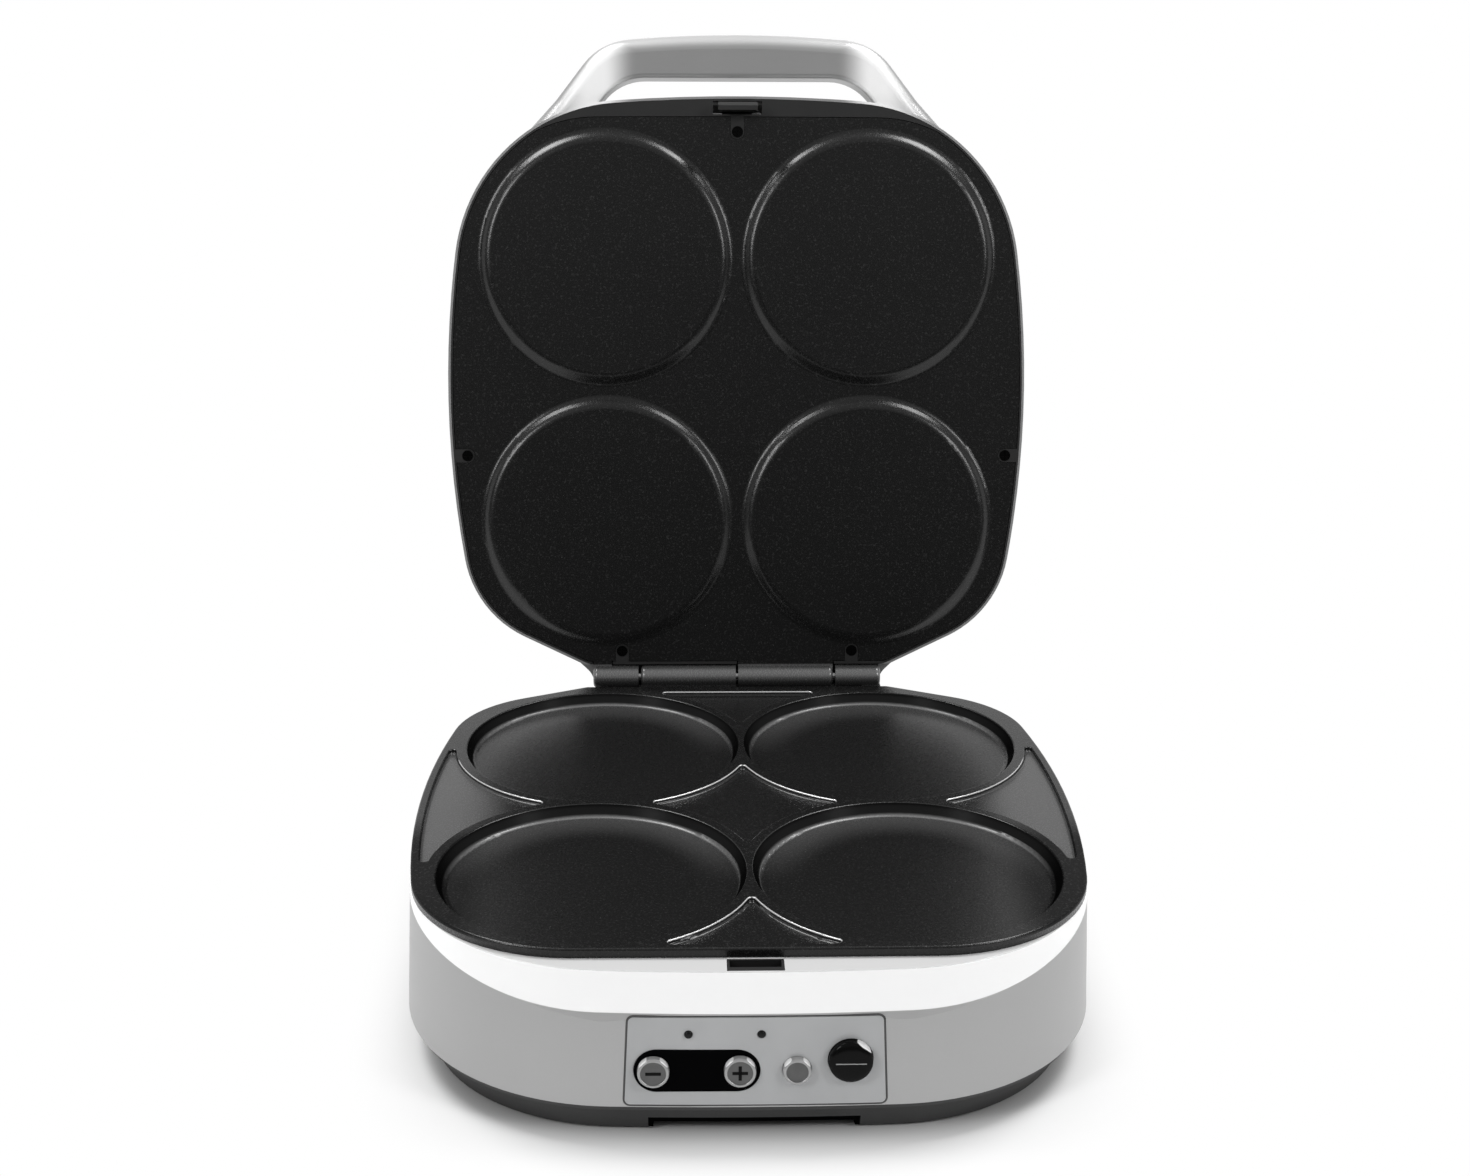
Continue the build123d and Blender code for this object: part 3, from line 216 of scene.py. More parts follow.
def makeCamera():
    yaw, pitch, roll = (math.radians(cameraView[key]) for key in ("yaw", "pitch", "roll"))
    level = math.cos(pitch)
    ahead = Vector((math.sin(yaw) * level, math.cos(yaw) * level, -math.sin(pitch)))
    side = Vector((math.cos(yaw), -math.sin(yaw), 0.0))
    above = side.cross(ahead)
    right = side * math.cos(roll) + above * math.sin(roll)
    up = above * math.cos(roll) - side * math.sin(roll)
    data = bpy.data.cameras.new("photoCamera")
    data.sensor_fit = "HORIZONTAL"
    data.sensor_width = cameraView["sensor"]
    data.lens = cameraView["lens"]
    camera = bpy.data.objects.new("photoCamera", data)
    turn = Matrix((right, up, -ahead)).transposed().to_4x4()
    camera.matrix_world = Matrix.Translation(cameraView["place"]) @ turn
    scene.collection.objects.link(camera)
    scene.camera = camera
    scene.view_settings.view_transform = "Standard"


makeCamera()
print("camera placed")


# The floor is white to the camera, but for the shadow round the tray, which is partly cast and partly
# painted shadow: the floor's own colour is darker near the tray
floorLook = {
    "half": 8.0,
    "colour": 0.86,
    "under": 0.3,
    "underSpan": (0.128, 0.15),
    "whiteSpan": (0.138, 0.178),
    "centre": -0.03,  # front to back, of the rounded square that both spans are measured in
    "narrow": 1.12,  # how much narrower that square is from side to side
    "mirrorFront": (-0.55, -0.3),  # where the floor grows bright in reflections
    "mirrorDark": 0.06,
}


def makeFloor(look):
    half = look["half"]
    corners = [(-half, -half, 0), (half, -half, 0), (half, half, 0), (-half, half, 0)]
    mesh = bpy.data.meshes.new("floor")
    mesh.from_pydata(corners, [], [(0, 1, 2, 3)])
    floor = bpy.data.objects.new("floor", mesh)
    scene.collection.objects.link(floor)
    shade = newShade("paleFloor")
    x = shade.axis("X") * look["narrow"]
    y = shade.axis("Y") - look["centre"]
    distance = (x * x * x * x + y * y * y * y).root().root()
    away = distance.ramp(*look["whiteSpan"])
    under = distance.ramp(*look["underSpan"])
    # Painted shadow: near the tray the floor's colour falls from the pale level to a dark one
    colour = shade.blend(under, grey(look["under"]), grey(look["colour"]))
    seen = shade.ray("Is Camera Ray", "Is Glossy Ray", "Is Transmission Ray")
    mirrored = shade.axis("Y").ramp(*look["mirrorFront"]).most(look["mirrorDark"])
    strength = shade.ray("Is Camera Ray").most(mirrored)
    matt = shade.node("ShaderNodeBsdfDiffuse", None, {"Color": colour})
    far = shade.node("ShaderNodeEmission", None, {"Color": white, "Strength": strength})
    shown = shade.node("ShaderNodeMixShader", None, {0: away, 1: matt, 2: far})
    mixed = shade.node("ShaderNodeMixShader", None, {0: seen, 1: matt, 2: shown})
    shade.node("ShaderNodeOutputMaterial", None, {"Surface": mixed}, None)
    mesh.materials.append(shade.owner)


# The world is white to the camera, and in reflections a room with a pale backdrop
worldLook = {
    "level": 0.3,
    "backdropTop": (0.45, 0.405),
    "backdropSide": (-0.4, -0.05),
    "frontLow": 0.02,
    "frontHigh": 0.45,
    "frontRise": (0.0, 0.6),
}


def makeWorld(look):
    scene.world = bpy.data.worlds.new("studioWorld")
    shade = Shade(scene.world)
    y, z = (shade.split(letter, "direction", "ShaderNodeTexCoord", "Generated") for letter in "YZ")
    backdrop = z.ramp(*look["backdropTop"]) * y.ramp(*look["backdropSide"])
    room = z.ramp(*look["frontRise"]) * (look["frontHigh"] - look["frontLow"]) + look["frontLow"]
    seen = shade.ray("Is Glossy Ray", "Is Transmission Ray")
    level = backdrop.most(room) * seen + (1.0 - seen) * look["level"]
    strength = shade.ray("Is Camera Ray").most(level)
    back = shade.node("ShaderNodeBackground", None, {"Color": white, "Strength": strength})
    shade.node("ShaderNodeOutputWorld", None, {"Surface": back}, None)


# Two softboxes overhead and one at each side
topBox = {"target": (0.0, 0.0, 0.1), "size": (0.55, 0.4), "power": 10.0}
sideBox = {"target": (0.0, 0.0, 0.15), "size": (0.34, 0.55)}
lamps = {
    "topLeftSoftbox": {**topBox, "place": (-0.6, 0.3, 1.25)},
    "topRightSoftbox": {**topBox, "place": (0.6, 0.3, 1.25)},
    "leftSoftbox": {**sideBox, "place": (-1.1, -1.0, 1.0), "power": 9.0},
    "rightSoftbox": {**sideBox, "place": (1.1, -0.9, 0.95), "power": 7.5},
}


def makeLamp(name, look):
    lamp = bpy.data.lights.new(name, "AREA")
    lamp.shape = "RECTANGLE"
    lamp.size, lamp.size_y = look["size"]
    lamp.energy = look["power"]
    holder = bpy.data.objects.new(name, lamp)
    holder.location = look["place"]
    aim = Vector(look["target"]) - Vector(look["place"])
    holder.rotation_euler = aim.to_track_quat("-Z", "Y").to_euler()
    scene.collection.objects.link(holder)


makeFloor(floorLook)
makeWorld(worldLook)
for lampName, lampLook in lamps.items():
    makeLamp(lampName, lampLook)
print("floor, world and lamps made")


# What both silver paints share: fine metal flakes in a coat that is slightly uneven
silverPaint = {
    "flake": 0.00035,
    "flakeDetail": 1.0,
    "flakeTone": 0.6,
    "flakeHeight": 0.5,
    "flakeRoughness": 0.05,
    "cloud": 0.04,
    "cloudTone": 0.4,
    "cloudRoughness": 0.04,
    "peel": 0.0014,
    "spread": (0.94, 1.06),
    "relief": (0.06, 0.0002),
}


def silverBase(name, look):
    shade = newShade(name)
    flake = shade.noise(silverPaint["flake"], silverPaint["flakeDetail"])
    cloud = shade.noise(silverPaint["cloud"])
    peel = shade.noise(silverPaint["peel"])
    tone = flake * silverPaint["flakeTone"] + cloud * silverPaint["cloudTone"]
    colour = shade.mottled(tone, grey(look["wall"]), silverPaint["spread"])
    bumped = shade.bump(peel + flake * silverPaint["flakeHeight"], *silverPaint["relief"])
    roughness = look["roughness"] + flake * silverPaint["flakeRoughness"]
    return shade, colour, roughness + cloud * silverPaint["cloudRoughness"], bumped


# The body's silver paint with painted light: the pale front band, found by its height, is a painted
# reflection of the bright front, and the ledge, found by the way it faces, is painted shade under the
# plate's edge
bodyPaint = {
    "wall": 0.412,
    "band": 0.95,
    "ledge": 0.52,
    "metallic": 0.5,
    "roughness": 0.36,
    "bandFoot": 0.052,  # height of the band's lower edge in the middle
    "bandEdge": 0.0002,
    "riseStart": 0.055,  # how far out that edge begins to rise
    "rise": 1.8,
    "bandEnd": (-0.075, -0.1),
    # The leaning strip beyond the band's end is painted lighter, as painted light over its darker
    # reflection
    "crease": 0.5,  # the leaning strip beyond the band's end
    "creaseLean": (0.12, 0.19),
    "ledgeLean": (0.55, 0.8),
}


def bodySilver(look):
    shade, colour, roughness, bumped = silverBase("bodySilver", look)
    lean = shade.facing("Z")
    ledge = lean.ramp(*look["ledgeLean"])
    spread = (abs(shade.axis("X")) - look["riseStart"]).most(0.0)
    above = shade.axis("Z") - look["bandFoot"] - spread * spread * look["rise"]
    band = above.ramp(-look["bandEdge"], look["bandEdge"]) * shade.axis("Y").ramp(*look["bandEnd"])
    band = band * (1.0 - ledge)
    crease = lean.ramp(*look["creaseLean"]) * (1.0 - band) * (1.0 - ledge)
    # Painted light: the leaning strip lighter, the band pale as a painted reflection, and the ledge as
    # painted shade; neither band nor ledge is metallic
    colour = shade.blend(crease, colour, grey(look["crease"]))
    colour = shade.blend(band, colour, grey(look["band"]))
    colour = shade.blend(ledge, colour, grey(look["ledge"]))
    metallic = (1.0 - band.most(ledge)) * look["metallic"]
    return shade.finish(Base_Color=colour, Metallic=metallic, Roughness=roughness, Normal=bumped)


# The lid's silver paint with painted light: a painted highlight where the handle's arms and its upper edge
# round away, painted shade down its sides, and painted shade on sideways faces near its rim
lidPaint = {
    "wall": 0.385,
    "metallic": 0.6,
    "roughness": 0.3,
    "handleHeight": (0.318, 0.33),
    "arm": 0.86,
    "armSpan": (0.046, 0.062),
    "armFront": (-0.2, -0.6),
    "outerSpan": (0.068, 0.09),
    "outerFade": 0.85,
    "topHeight": (0.345, 0.352),
    "topLean": (0.3, 0.75),
    "topShare": 0.3,
    "side": 0.2,
    "sideLean": (0.3, 0.8),
    "sideShare": 0.8,
    "rim": 0.1,
    "rimTilt": 11.7,  # the open lid leans back by this angle
    "rimDepth": (0.0875, 0.085),
    "rimLean": (0.2, 0.5),
    "rimShare": 0.85,
}


def lidSilver(look):
    shade, colour, roughness, bumped = silverBase("lidSilver", look)
    across = abs(shade.axis("X"))
    height = shade.axis("Z")
    sideways = abs(shade.lean("X"))
    handle = height.ramp(*look["handleHeight"])
    outer = across.ramp(*look["outerSpan"]) * look["outerFade"]
    arm = across.ramp(*look["armSpan"]) * handle * (1.0 - outer)
    arm = arm * shade.lean("Y").ramp(*look["armFront"])
    top = height.ramp(*look["topHeight"]) * shade.lean("Z").ramp(*look["topLean"])
    # Painted highlight on the arms and the handle's upper edge, painted shade down the handle's sides and
    # on the rim; none of these is metallic
    pale = arm.most(top * look["topShare"])
    colour = shade.blend(pale, colour, grey(look["arm"]))
    side = sideways.ramp(*look["sideLean"]) * handle * look["sideShare"]
    colour = shade.blend(side, colour, grey(look["side"]))
    tilt = math.radians(look["rimTilt"])
    depth = shade.axis("Y") * math.cos(tilt) - height * math.sin(tilt)
    rim = depth.ramp(*look["rimDepth"]) * sideways.ramp(*look["rimLean"]) * look["rimShare"]
    rim = rim * (1.0 - handle)
    colour = shade.blend(rim, colour, grey(look["rim"]))
    metallic = (1.0 - pale.most(side).most(rim)) * look["metallic"]
    return shade.finish(Base_Color=colour, Metallic=metallic, Roughness=roughness, Normal=bumped)


# Non-stick coating of both plates; the knuckles round the hinge axis are lighter, with a painted highlight
# where they face up and forward and painted shade below
coating = {
    "dark": 0.0055,
    "spread": (0.85, 1.25),
    "cloud": 0.05,
    "cloudDetail": 3.0,
    "grain": 0.0007,
    "grainDetail": 3.0,
    "grainHarshness": 0.65,
    "grainRoughness": 0.08,
    "speck": 0.02,
    "speckSize": 0.00091,
    "speckDetail": 1.0,
    "speckSpan": (0.55, 0.75),
    "speckHeight": 0.5,
    "relief": (0.26, 0.0001),
    "roughness": 0.23,
    "specular": 0.45,
    # The knuckles' colours are painted light: knuckle where the painted highlight falls, knuckleDark in the
    # painted shade
    "knuckle": 0.17,
    "knuckleDark": 0.04,
    "knuckleSpan": (0.0066, 0.005775),
    "knuckleLean": (-0.25, 0.4),
    "knuckleTop": (0.98, 0.65),
    "knuckleTopShare": 0.3,
    "knuckleGrain": 0.6,
    "knuckleBase": 0.7,
    "knuckleMetallic": 0.5,
}

# Painted shade and painted highlights that only the base plate shows, by the distance from the middle of
# the nearest cavity
cavityLook = {
    "across": 0.061,
    "along": 0.0613,
    "middle": -0.03568,  # front to back, of the line between front and rear cavities
    # Near black on the cavity walls: painted shade
    "wall": 0.0012,
    "wallLean": (0.82, 0.62),
    "wallSpan": (0.0606, 0.0602),
    "wallShare": 0.95,
    "insideSpan": (0.06, 0.059),
    "floorLean": (0.7, 0.95),
    "sheen": 0.035,
    "sheenSpan": (0.036, 0.0555),
    "sheenTurn": (-0.1, 0.75),
    "sheenGrain": 0.8,
    "sheenBase": 0.6,
    "fillet": 0.08,
    "filletLean": (0.45, 0.75, 0.93, 0.995),
    "edge": 0.65,
    "edgeMetallic": 0.5,
    "edgeSpan": (0.0636, 0.0641, 0.065, 0.0656),
    "edgeLean": (0.97, 0.8),
    "edgeHeight": (0.0698, 0.0702),
    "edgeZone": (0.045, 0.043),
    "edgeReach": (0.1225, 0.1215),
    "rearHalf": (0.0356, 0.035),
    "rearSpan": (0.0858, 0.0862, 0.088, 0.0886),
    "sideSpan": (0.092, 0.112),
    "pocket": 0.05,
    "pocketTop": (0.0692, 0.069),
    "pocketSpan": (0.06, 0.0636),
    "frontSpan": (-0.01, -0.04),
    "frontShare": 0.75,
}


# Masks of the painted shade on the walls, the front corners, the painted sheen and highlights of the glow,
# and the painted highlights on the edges
def cavityMasks(shade, look, grain):
    across = abs(shade.axis("X"))
    depth = shade.axis("Y")
    height = shade.axis("Z")
    lean = shade.lean("Z")
    side = depth - look["middle"]
    x = across - look["across"]
    y = abs(side) - look["along"]
    reach = (x * x + y * y).root()

    # Steep walls, painted near black and without reflection: painted shade
    wall = abs(lean).ramp(*look["wallLean"]) * reach.ramp(*look["wallSpan"]) * look["wallShare"]

    # Painted sheen on the far half of the floors, and a painted highlight on the fillets behind it
    inside = reach.ramp(*look["insideSpan"])
    far = (y * side.sign() / reach).ramp(*look["sheenTurn"])
    patchy = grain * look["sheenGrain"] + look["sheenBase"]
    sheen = reach.ramp(*look["sheenSpan"]) * inside * lean.ramp(*look["floorLean"])
    sheen = sheen * far * patchy * look["sheen"]
    fillet = inside * lean.between(*look["filletLean"]) * far * look["fillet"]

    # Painted highlights on the edges where the pockets meet the rings, and along the rear pocket
    zone = across.ramp(*look["edgeZone"]).most(abs(side).ramp(*look["edgeZone"]))
    ring = reach.between(*look["edgeSpan"]) * zone * abs(side).ramp(*look["edgeReach"])
    rear = depth.between(*look["rearSpan"]) * across.ramp(*look["rearHalf"])
    edge = ring.most(rear) * lean.ramp(*look["edgeLean"]) * height.ramp(*look["edgeHeight"])

    # Side pockets, whose floors are painted lighter as painted light, and the plate's top from there to the
    # front, which is given no reflection
    outer = across.ramp(*look["sideSpan"])
    sunk = height.ramp(*look["pocketTop"]) * reach.ramp(*look["pocketSpan"])
    pocket = outer * sunk * look["pocket"]
    front = side.ramp(*look["frontSpan"]) * outer * (1.0 - sunk) * look["frontShare"]
    return wall, front, sheen + fillet + pocket, edge


# Where the knuckles are, and their colour by the way they face: a painted highlight where they face up and
# forward, painted shade where they face away
def knuckles(shade, look, grain):
    low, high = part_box("hinge_pin")
    middle = (low + high) / 2
    y = shade.axis("Y") - middle.y
    z = shade.axis("Z") - middle.z
    knuckle = (y * y + z * z).root().ramp(*look["knuckleSpan"])
    lean = shade.lean("Z")
    top = look["knuckleTopShare"]
    band = lean.ramp(*look["knuckleLean"]) * (lean.ramp(*look["knuckleTop"]) * (1.0 - top) + top)
    share = band * (grain * look["knuckleGrain"] + look["knuckleBase"])
    return knuckle, shade.blend(share, grey(look["knuckleDark"]), grey(look["knuckle"]))


def nonStick(name, look, cavities=None):
    shade = newShade(name)
    grain = shade.noise(look["grain"], look["grainDetail"], look["grainHarshness"])
    specks = shade.noise(look["speckSize"], look["speckDetail"]).ramp(*look["speckSpan"])
    cloud = shade.noise(look["cloud"], look["cloudDetail"])
    dark = shade.mottled(cloud, grey(look["dark"]), look["spread"])
    coated = shade.blend(specks, dark, grey(look["speck"]))
    knuckle, barrel = knuckles(shade, look, grain)
    colour = shade.blend(knuckle, coated, barrel)
    metallic = knuckle * look["knuckleMetallic"]
    dulled = None
    if cavities:
        wall, front, glow, edge = cavityMasks(shade, cavities, grain)
        dulled = wall.most(front)
        # Painted shade on the walls, painted sheen and highlights blended towards white, and painted
        # highlights on the edges
        colour = shade.blend(wall, colour, grey(cavities["wall"]))
        colour = shade.blend(glow, colour, white)
        colour = shade.blend(edge, colour, grey(cavities["edge"]))
        metallic = metallic.most(edge * cavities["edgeMetallic"])
    return shade.finish(
        Base_Color=colour,
        Metallic=metallic,
        Roughness=look["roughness"] + grain * look["grainRoughness"],
        Normal=shade.bump(grain + specks * look["speckHeight"], *look["relief"]),
        Specular_IOR_Level=look["specular"],
        dulled=dulled,
    )


# What the plastics share: slow clouds of tone, and a fine grain in gloss and height
smoothPlastic = {
    "roughness": 0.3,
    "grain": 0.0006,
    "grainRoughness": 0.06,
    "relief": 0.1,
    "reliefDepth": 0.0001,
    "cloud": 0.015,
    "cloudDetail": 2.0,
    "spread": (0.92, 1.08),
    "specular": 0.5,
}
moulding = {**smoothPlastic, "grainRoughness": 0.12, "relief": 0.2, "cloud": 0.02, "spread": (0.85, 1.2)}
polished = {**smoothPlastic, "grain": 0.002, "relief": 0.01}
plastics = {
    "black": {**moulding, "name": "blackMoulding", "colour": grey(0.014), "roughness": 0.34},
    # A dark colour for the bead in the panel's gap: painted shade
    "seal": {**moulding, "name": "panelSeal", "colour": grey(0.05), "roughness": 0.6},
    "rubber": {**moulding, "name": "footRubber", "colour": grey(0.02), "roughness": 0.7},
    "panel": {
        **smoothPlastic,
        "name": "panelFace",
        "colour": (0.37, 0.375, 0.38),
        "roughness": 0.42,
        "grain": 0.0004,
        "relief": 0.15,
    },
    "window": {
        **polished,
        "name": "displayBlack",
        "colour": (0.0006, 0.0006, 0.0008),
        "roughness": 0.06,
        "specular": 0.015,
    },
    "lens": {**polished, "name": "lightLens", "colour": grey(0.004), "roughness": 0.08, "specular": 0.2},
    "sign": {**smoothPlastic, "name": "signInk", "colour": grey(0.003), "roughness": 0.4, "specular": 0.1},
    "line": {**smoothPlastic, "name": "startLineInk", "colour": grey(0.3), "roughness": 0.4},
    "board": {
        **smoothPlastic,
        "name": "boardGreen",
        "colour": (0.02, 0.16, 0.07),
        "roughness": 0.35,
        "grain": 0.001,
        "relief": 0.2,
    },
    "relay": {**smoothPlastic, "name": "relayCase", "colour": (0.02, 0.05, 0.14)},
    "cream": {**smoothPlastic, "name": "terminalCream", "colour": (0.7, 0.68, 0.58), "roughness": 0.4},
}


def plasticBase(look):
    shade = newShade(look["name"])
    grain = shade.noise(look["grain"])
    cloud = shade.noise(look["cloud"], look["cloudDetail"])
    colour = shade.mottled(cloud, look["colour"], look["spread"])
    roughness = grain * look["grainRoughness"] + look["roughness"]
    bumped = shade.bump(grain, look["relief"], look["reliefDepth"])
    sockets = {"Roughness": roughness, "Normal": bumped, "Specular_IOR_Level": look["specular"]}
    return shade, colour, sockets


def plastic(look):
    shade, colour, sockets = plasticBase(look)
    return shade.finish(Base_Color=colour, **sockets)


# The tray's moulding, with a painted shadow: black and without reflection in a slot under its front edge,
# standing in for the shade of a deeper arch there
trayLook = {
    **moulding,
    "name": "trayMoulding",
    "colour": grey(0.032),
    "roughness": 0.5,
    "slot": 0.002,
    "slotSide": (0.0389, 0.0385),
    "slotTop": (0.0066, 0.0062),
    "slotFront": (-0.1, -0.11),
}


def trayFinish(look):
    shade, colour, sockets = plasticBase(look)
    slot = abs(shade.axis("X")).ramp(*look["slotSide"]) * shade.axis("Z").ramp(*look["slotTop"])
    slot = slot * shade.axis("Y").ramp(*look["slotFront"])
    colour = shade.blend(slot, colour, grey(look["slot"]))
    return shade.finish(Base_Color=colour, dulled=slot, **sockets)


# The face inside a small button's ring
discLook = {
    **smoothPlastic,
    "name": "buttonDisc",
    "colour": grey(0.075),
    "spread": (0.8, 1.2),
    "cloud": 0.004,
    "cloudDetail": 1.0,
    "grain": 0.0005,
    "grainRoughness": 0.05,
    "relief": 0.03,
    "metallic": 0.3,
    "coat": 0.25,
    "coatRoughness": 0.04,
}


def buttonDisc(look):
    shade, colour, sockets = plasticBase(look)
    return shade.finish(
        Base_Color=colour,
        Metallic=look["metallic"],
        Coat_Weight=look["coat"],
        Coat_Roughness=look["coatRoughness"],
        **sockets,
    )


# Glossy plastic with a painted glint, pale where its rounded edge faces up and to a side
glossyPlastic = {**polished, "roughness": 0.07, "relief": 0.02, "coatRoughness": 0.05}
ringLook = {
    **glossyPlastic,
    "name": "clearRing",
    "colour": grey(0.3),
    "glint": 0.9,
    "glintUp": (0.36, 0.46),
    "glintLeft": (-0.36, -0.44),
    "glintRight": (0.36, 0.44),
    "coat": 1.0,
}
startLook = {
    **glossyPlastic,
    "name": "startBlack",
    "colour": grey(0.004),
    "glint": 0.8,
    "glintUp": (0.42, 0.48),
    "glintLeft": None,
    "glintRight": (0.24, 0.3),
    "specular": 0.08,
    "coat": 0.0,
}


def glossy(look):
    shade, colour, sockets = plasticBase(look)
    across = shade.lean("X")
    glint = across.ramp(*look["glintRight"])
    if look["glintLeft"]:
        glint = glint.most(across.ramp(*look["glintLeft"]))
    glint = glint * shade.lean("Z").ramp(*look["glintUp"])
    return shade.finish(
        Base_Color=shade.blend(glint, colour, grey(look["glint"])),
        Coat_Weight=look["coat"],
        Coat_Roughness=look["coatRoughness"],
        **sockets,
    )


# Metals, with a grain that can be drawn out along a part
bareMetal = {
    "roughness": 0.3,
    "tint": white,
    "stretch": evenly,
    "grain": 0.0008,
    "grainTone": 0.6,
    "grainRoughness": 0.12,
    "cloud": 0.012,
    "cloudTone": 0.4,
    "spread": (0.8, 1.15),
    "relief": (0.1, 0.0001),
}
metals = {
    "steel": {**bareMetal, "name": "screwSteel", "level": 0.5},
    "darkScrew": {**bareMetal, "name": "blackenedScrew", "level": 0.01},
    "pin": {**bareMetal, "name": "pinSteel", "level": 0.6, "roughness": 0.2, "stretch": (1.0, 6.0, 6.0)},
    "sheath": {
        **bareMetal,
        "name": "heaterSheath",
        "level": 0.3,
        "roughness": 0.45,
        "tint": (1.0, 0.95, 0.9),
    },
    "sheet": {**bareMetal, "name": "shieldSheet", "level": 0.6, "roughness": 0.4, "tint": (1.0, 1.0, 0.96)},
    "brass": {**bareMetal, "name": "sensorBrass", "level": 0.7, "tint": (1.0, 0.78, 0.4)},
}


def metal(look):
    shade = newShade(look["name"])
    grain = shade.noise(look["grain"], stretch=look["stretch"])
    cloud = shade.noise(look["cloud"])
    tone = grain * look["grainTone"] + cloud * look["cloudTone"]
    colour = shade.mottled(tone, grey(look["level"], look["tint"]), look["spread"])
    roughness = look["roughness"] + grain * look["grainRoughness"]
    bumped = shade.bump(grain, *look["relief"])
    return shade.finish(Base_Color=colour, Metallic=1.0, Roughness=roughness, Normal=bumped)


finishes = {
    "bodySilver": bodySilver(bodyPaint),
    "lidSilver": lidSilver(lidPaint),
    "basePlate": nonStick("basePlateCoating", coating, cavityLook),
    "lidPlate": nonStick("lidPlateCoating", coating),
    "tray": trayFinish(trayLook),
    "disc": buttonDisc(discLook),
    "clear": glossy(ringLook),
    "start": glossy(startLook),
}
for finishName, finishLook in plastics.items():
    finishes[finishName] = plastic(finishLook)
for finishName, finishLook in metals.items():
    finishes[finishName] = metal(finishLook)

wear = {
    "bodySilver": ["base_housing"],
    "lidSilver": ["lid_shell"],
    "basePlate": ["base_plate"],
    "lidPlate": ["lid_plate"],
    "black": ["lid_frame", "latch_catch", "latch_hook", "cord_gland", "tact_switches"],
    "tray": ["bottom_tray"],
    "panel": ["control_panel"],
    "window": ["display_window"],
    "lens": ["power_light", "ready_light"],
    "rubber": ["rubber_feet"],
    "steel": ["tray_screws", "shield_screws", "lid_shield_screws", "board_screws"],
    "darkScrew": ["lid_screws"],
    "pin": ["hinge_pin", "latch_pin", "latch_spring"],
    "sheath": ["base_heater", "lid_heater"],
    "sheet": ["base_heat_shield", "lid_heat_shield", "thermal_fuse"],
    "brass": ["temperature_sensor", "lid_thermostat"],
    "board": ["control_board", "power_board"],
    "relay": ["power_relay"],
    "cream": ["terminal_block", "display_board"],
}


def dress(node, material):
    slots = nodes[node].data.materials
    slots.clear()
    slots.append(material)


for finishName, nodeNames in wear.items():
    for nodeName in nodeNames:
        dress(nodeName, finishes[finishName])
print("finishes on the solids")


# The panel's own directions, and how near its plane a point of a button's face lies
press = next(Vector(joint["axis"]) for joint in frame["joints"] if joint["name"] == "start_press")
faceOut = -press.normalized()
faceRight = Vector((1.0, 0.0, 0.0))
faceUp = faceOut.cross(faceRight)
faceDepth = 0.00002


# Where a button's face lies: right, up and outward, with the origin in its middle
def faceFrame(node):
    points = [vertex.co for vertex in nodes[node].data.vertices]
    reach = max(point.dot(faceOut) for point in points)
    front = [point for point in points if reach - point.dot(faceOut) < faceDepth]
    origin = faceOut * reach
    for axis in (faceRight, faceUp):
        spots = [point.dot(axis) for point in front]
        origin += axis * (min(spots) + max(spots)) / 2
    turn = Matrix((faceRight, faceUp, faceOut)).transposed().to_4x4()
    return Matrix.Translation(origin) @ turn


# A bead that follows a closed path
def makeBeadTree():
    tree = bpy.data.node_groups.new("beadAlongPath", "GeometryNodeTree")
    kinds = {
        "Path": "Geometry",
        "Bead radius": "Float",
        "Step": "Float",
        "Sides": "Int",
        "Finish": "Material",
    }
    for name, kind in kinds.items():
        tree.interface.new_socket(name, in_out="INPUT", socket_type="NodeSocket" + kind)
    tree.interface.new_socket("Bead", in_out="OUTPUT", socket_type="NodeSocketGeometry")
    make = tree.nodes.new
    start = make("NodeGroupInput")
    curve = make("GeometryNodeMeshToCurve")
    resample = make("GeometryNodeResampleCurve")
    resample.mode = "LENGTH"
    profile = make("GeometryNodeCurvePrimitiveCircle")
    sweep = make("GeometryNodeCurveToMesh")
    smooth = make("GeometryNodeSetShadeSmooth")
    real = make("GeometryNodeRealizeInstances")
    paint = make("GeometryNodeSetMaterial")
    end = make("NodeGroupOutput")
    link = tree.links.new
    link(start.outputs["Path"], curve.inputs["Mesh"])
    link(curve.outputs["Curve"], resample.inputs["Curve"])
    link(start.outputs["Step"], resample.inputs["Length"])
    link(start.outputs["Bead radius"], profile.inputs["Radius"])
    link(start.outputs["Sides"], profile.inputs["Resolution"])
    link(resample.outputs["Curve"], sweep.inputs["Curve"])
    link(profile.outputs["Curve"], sweep.inputs["Profile Curve"])
    link(sweep.outputs["Mesh"], smooth.inputs["Geometry"])
    link(smooth.outputs["Geometry"], real.inputs["Geometry"])
    link(real.outputs["Geometry"], paint.inputs["Geometry"])
    link(start.outputs["Finish"], paint.inputs["Material"])
    link(paint.outputs["Geometry"], end.inputs["Bead"])
    return tree


beadTree = makeBeadTree()


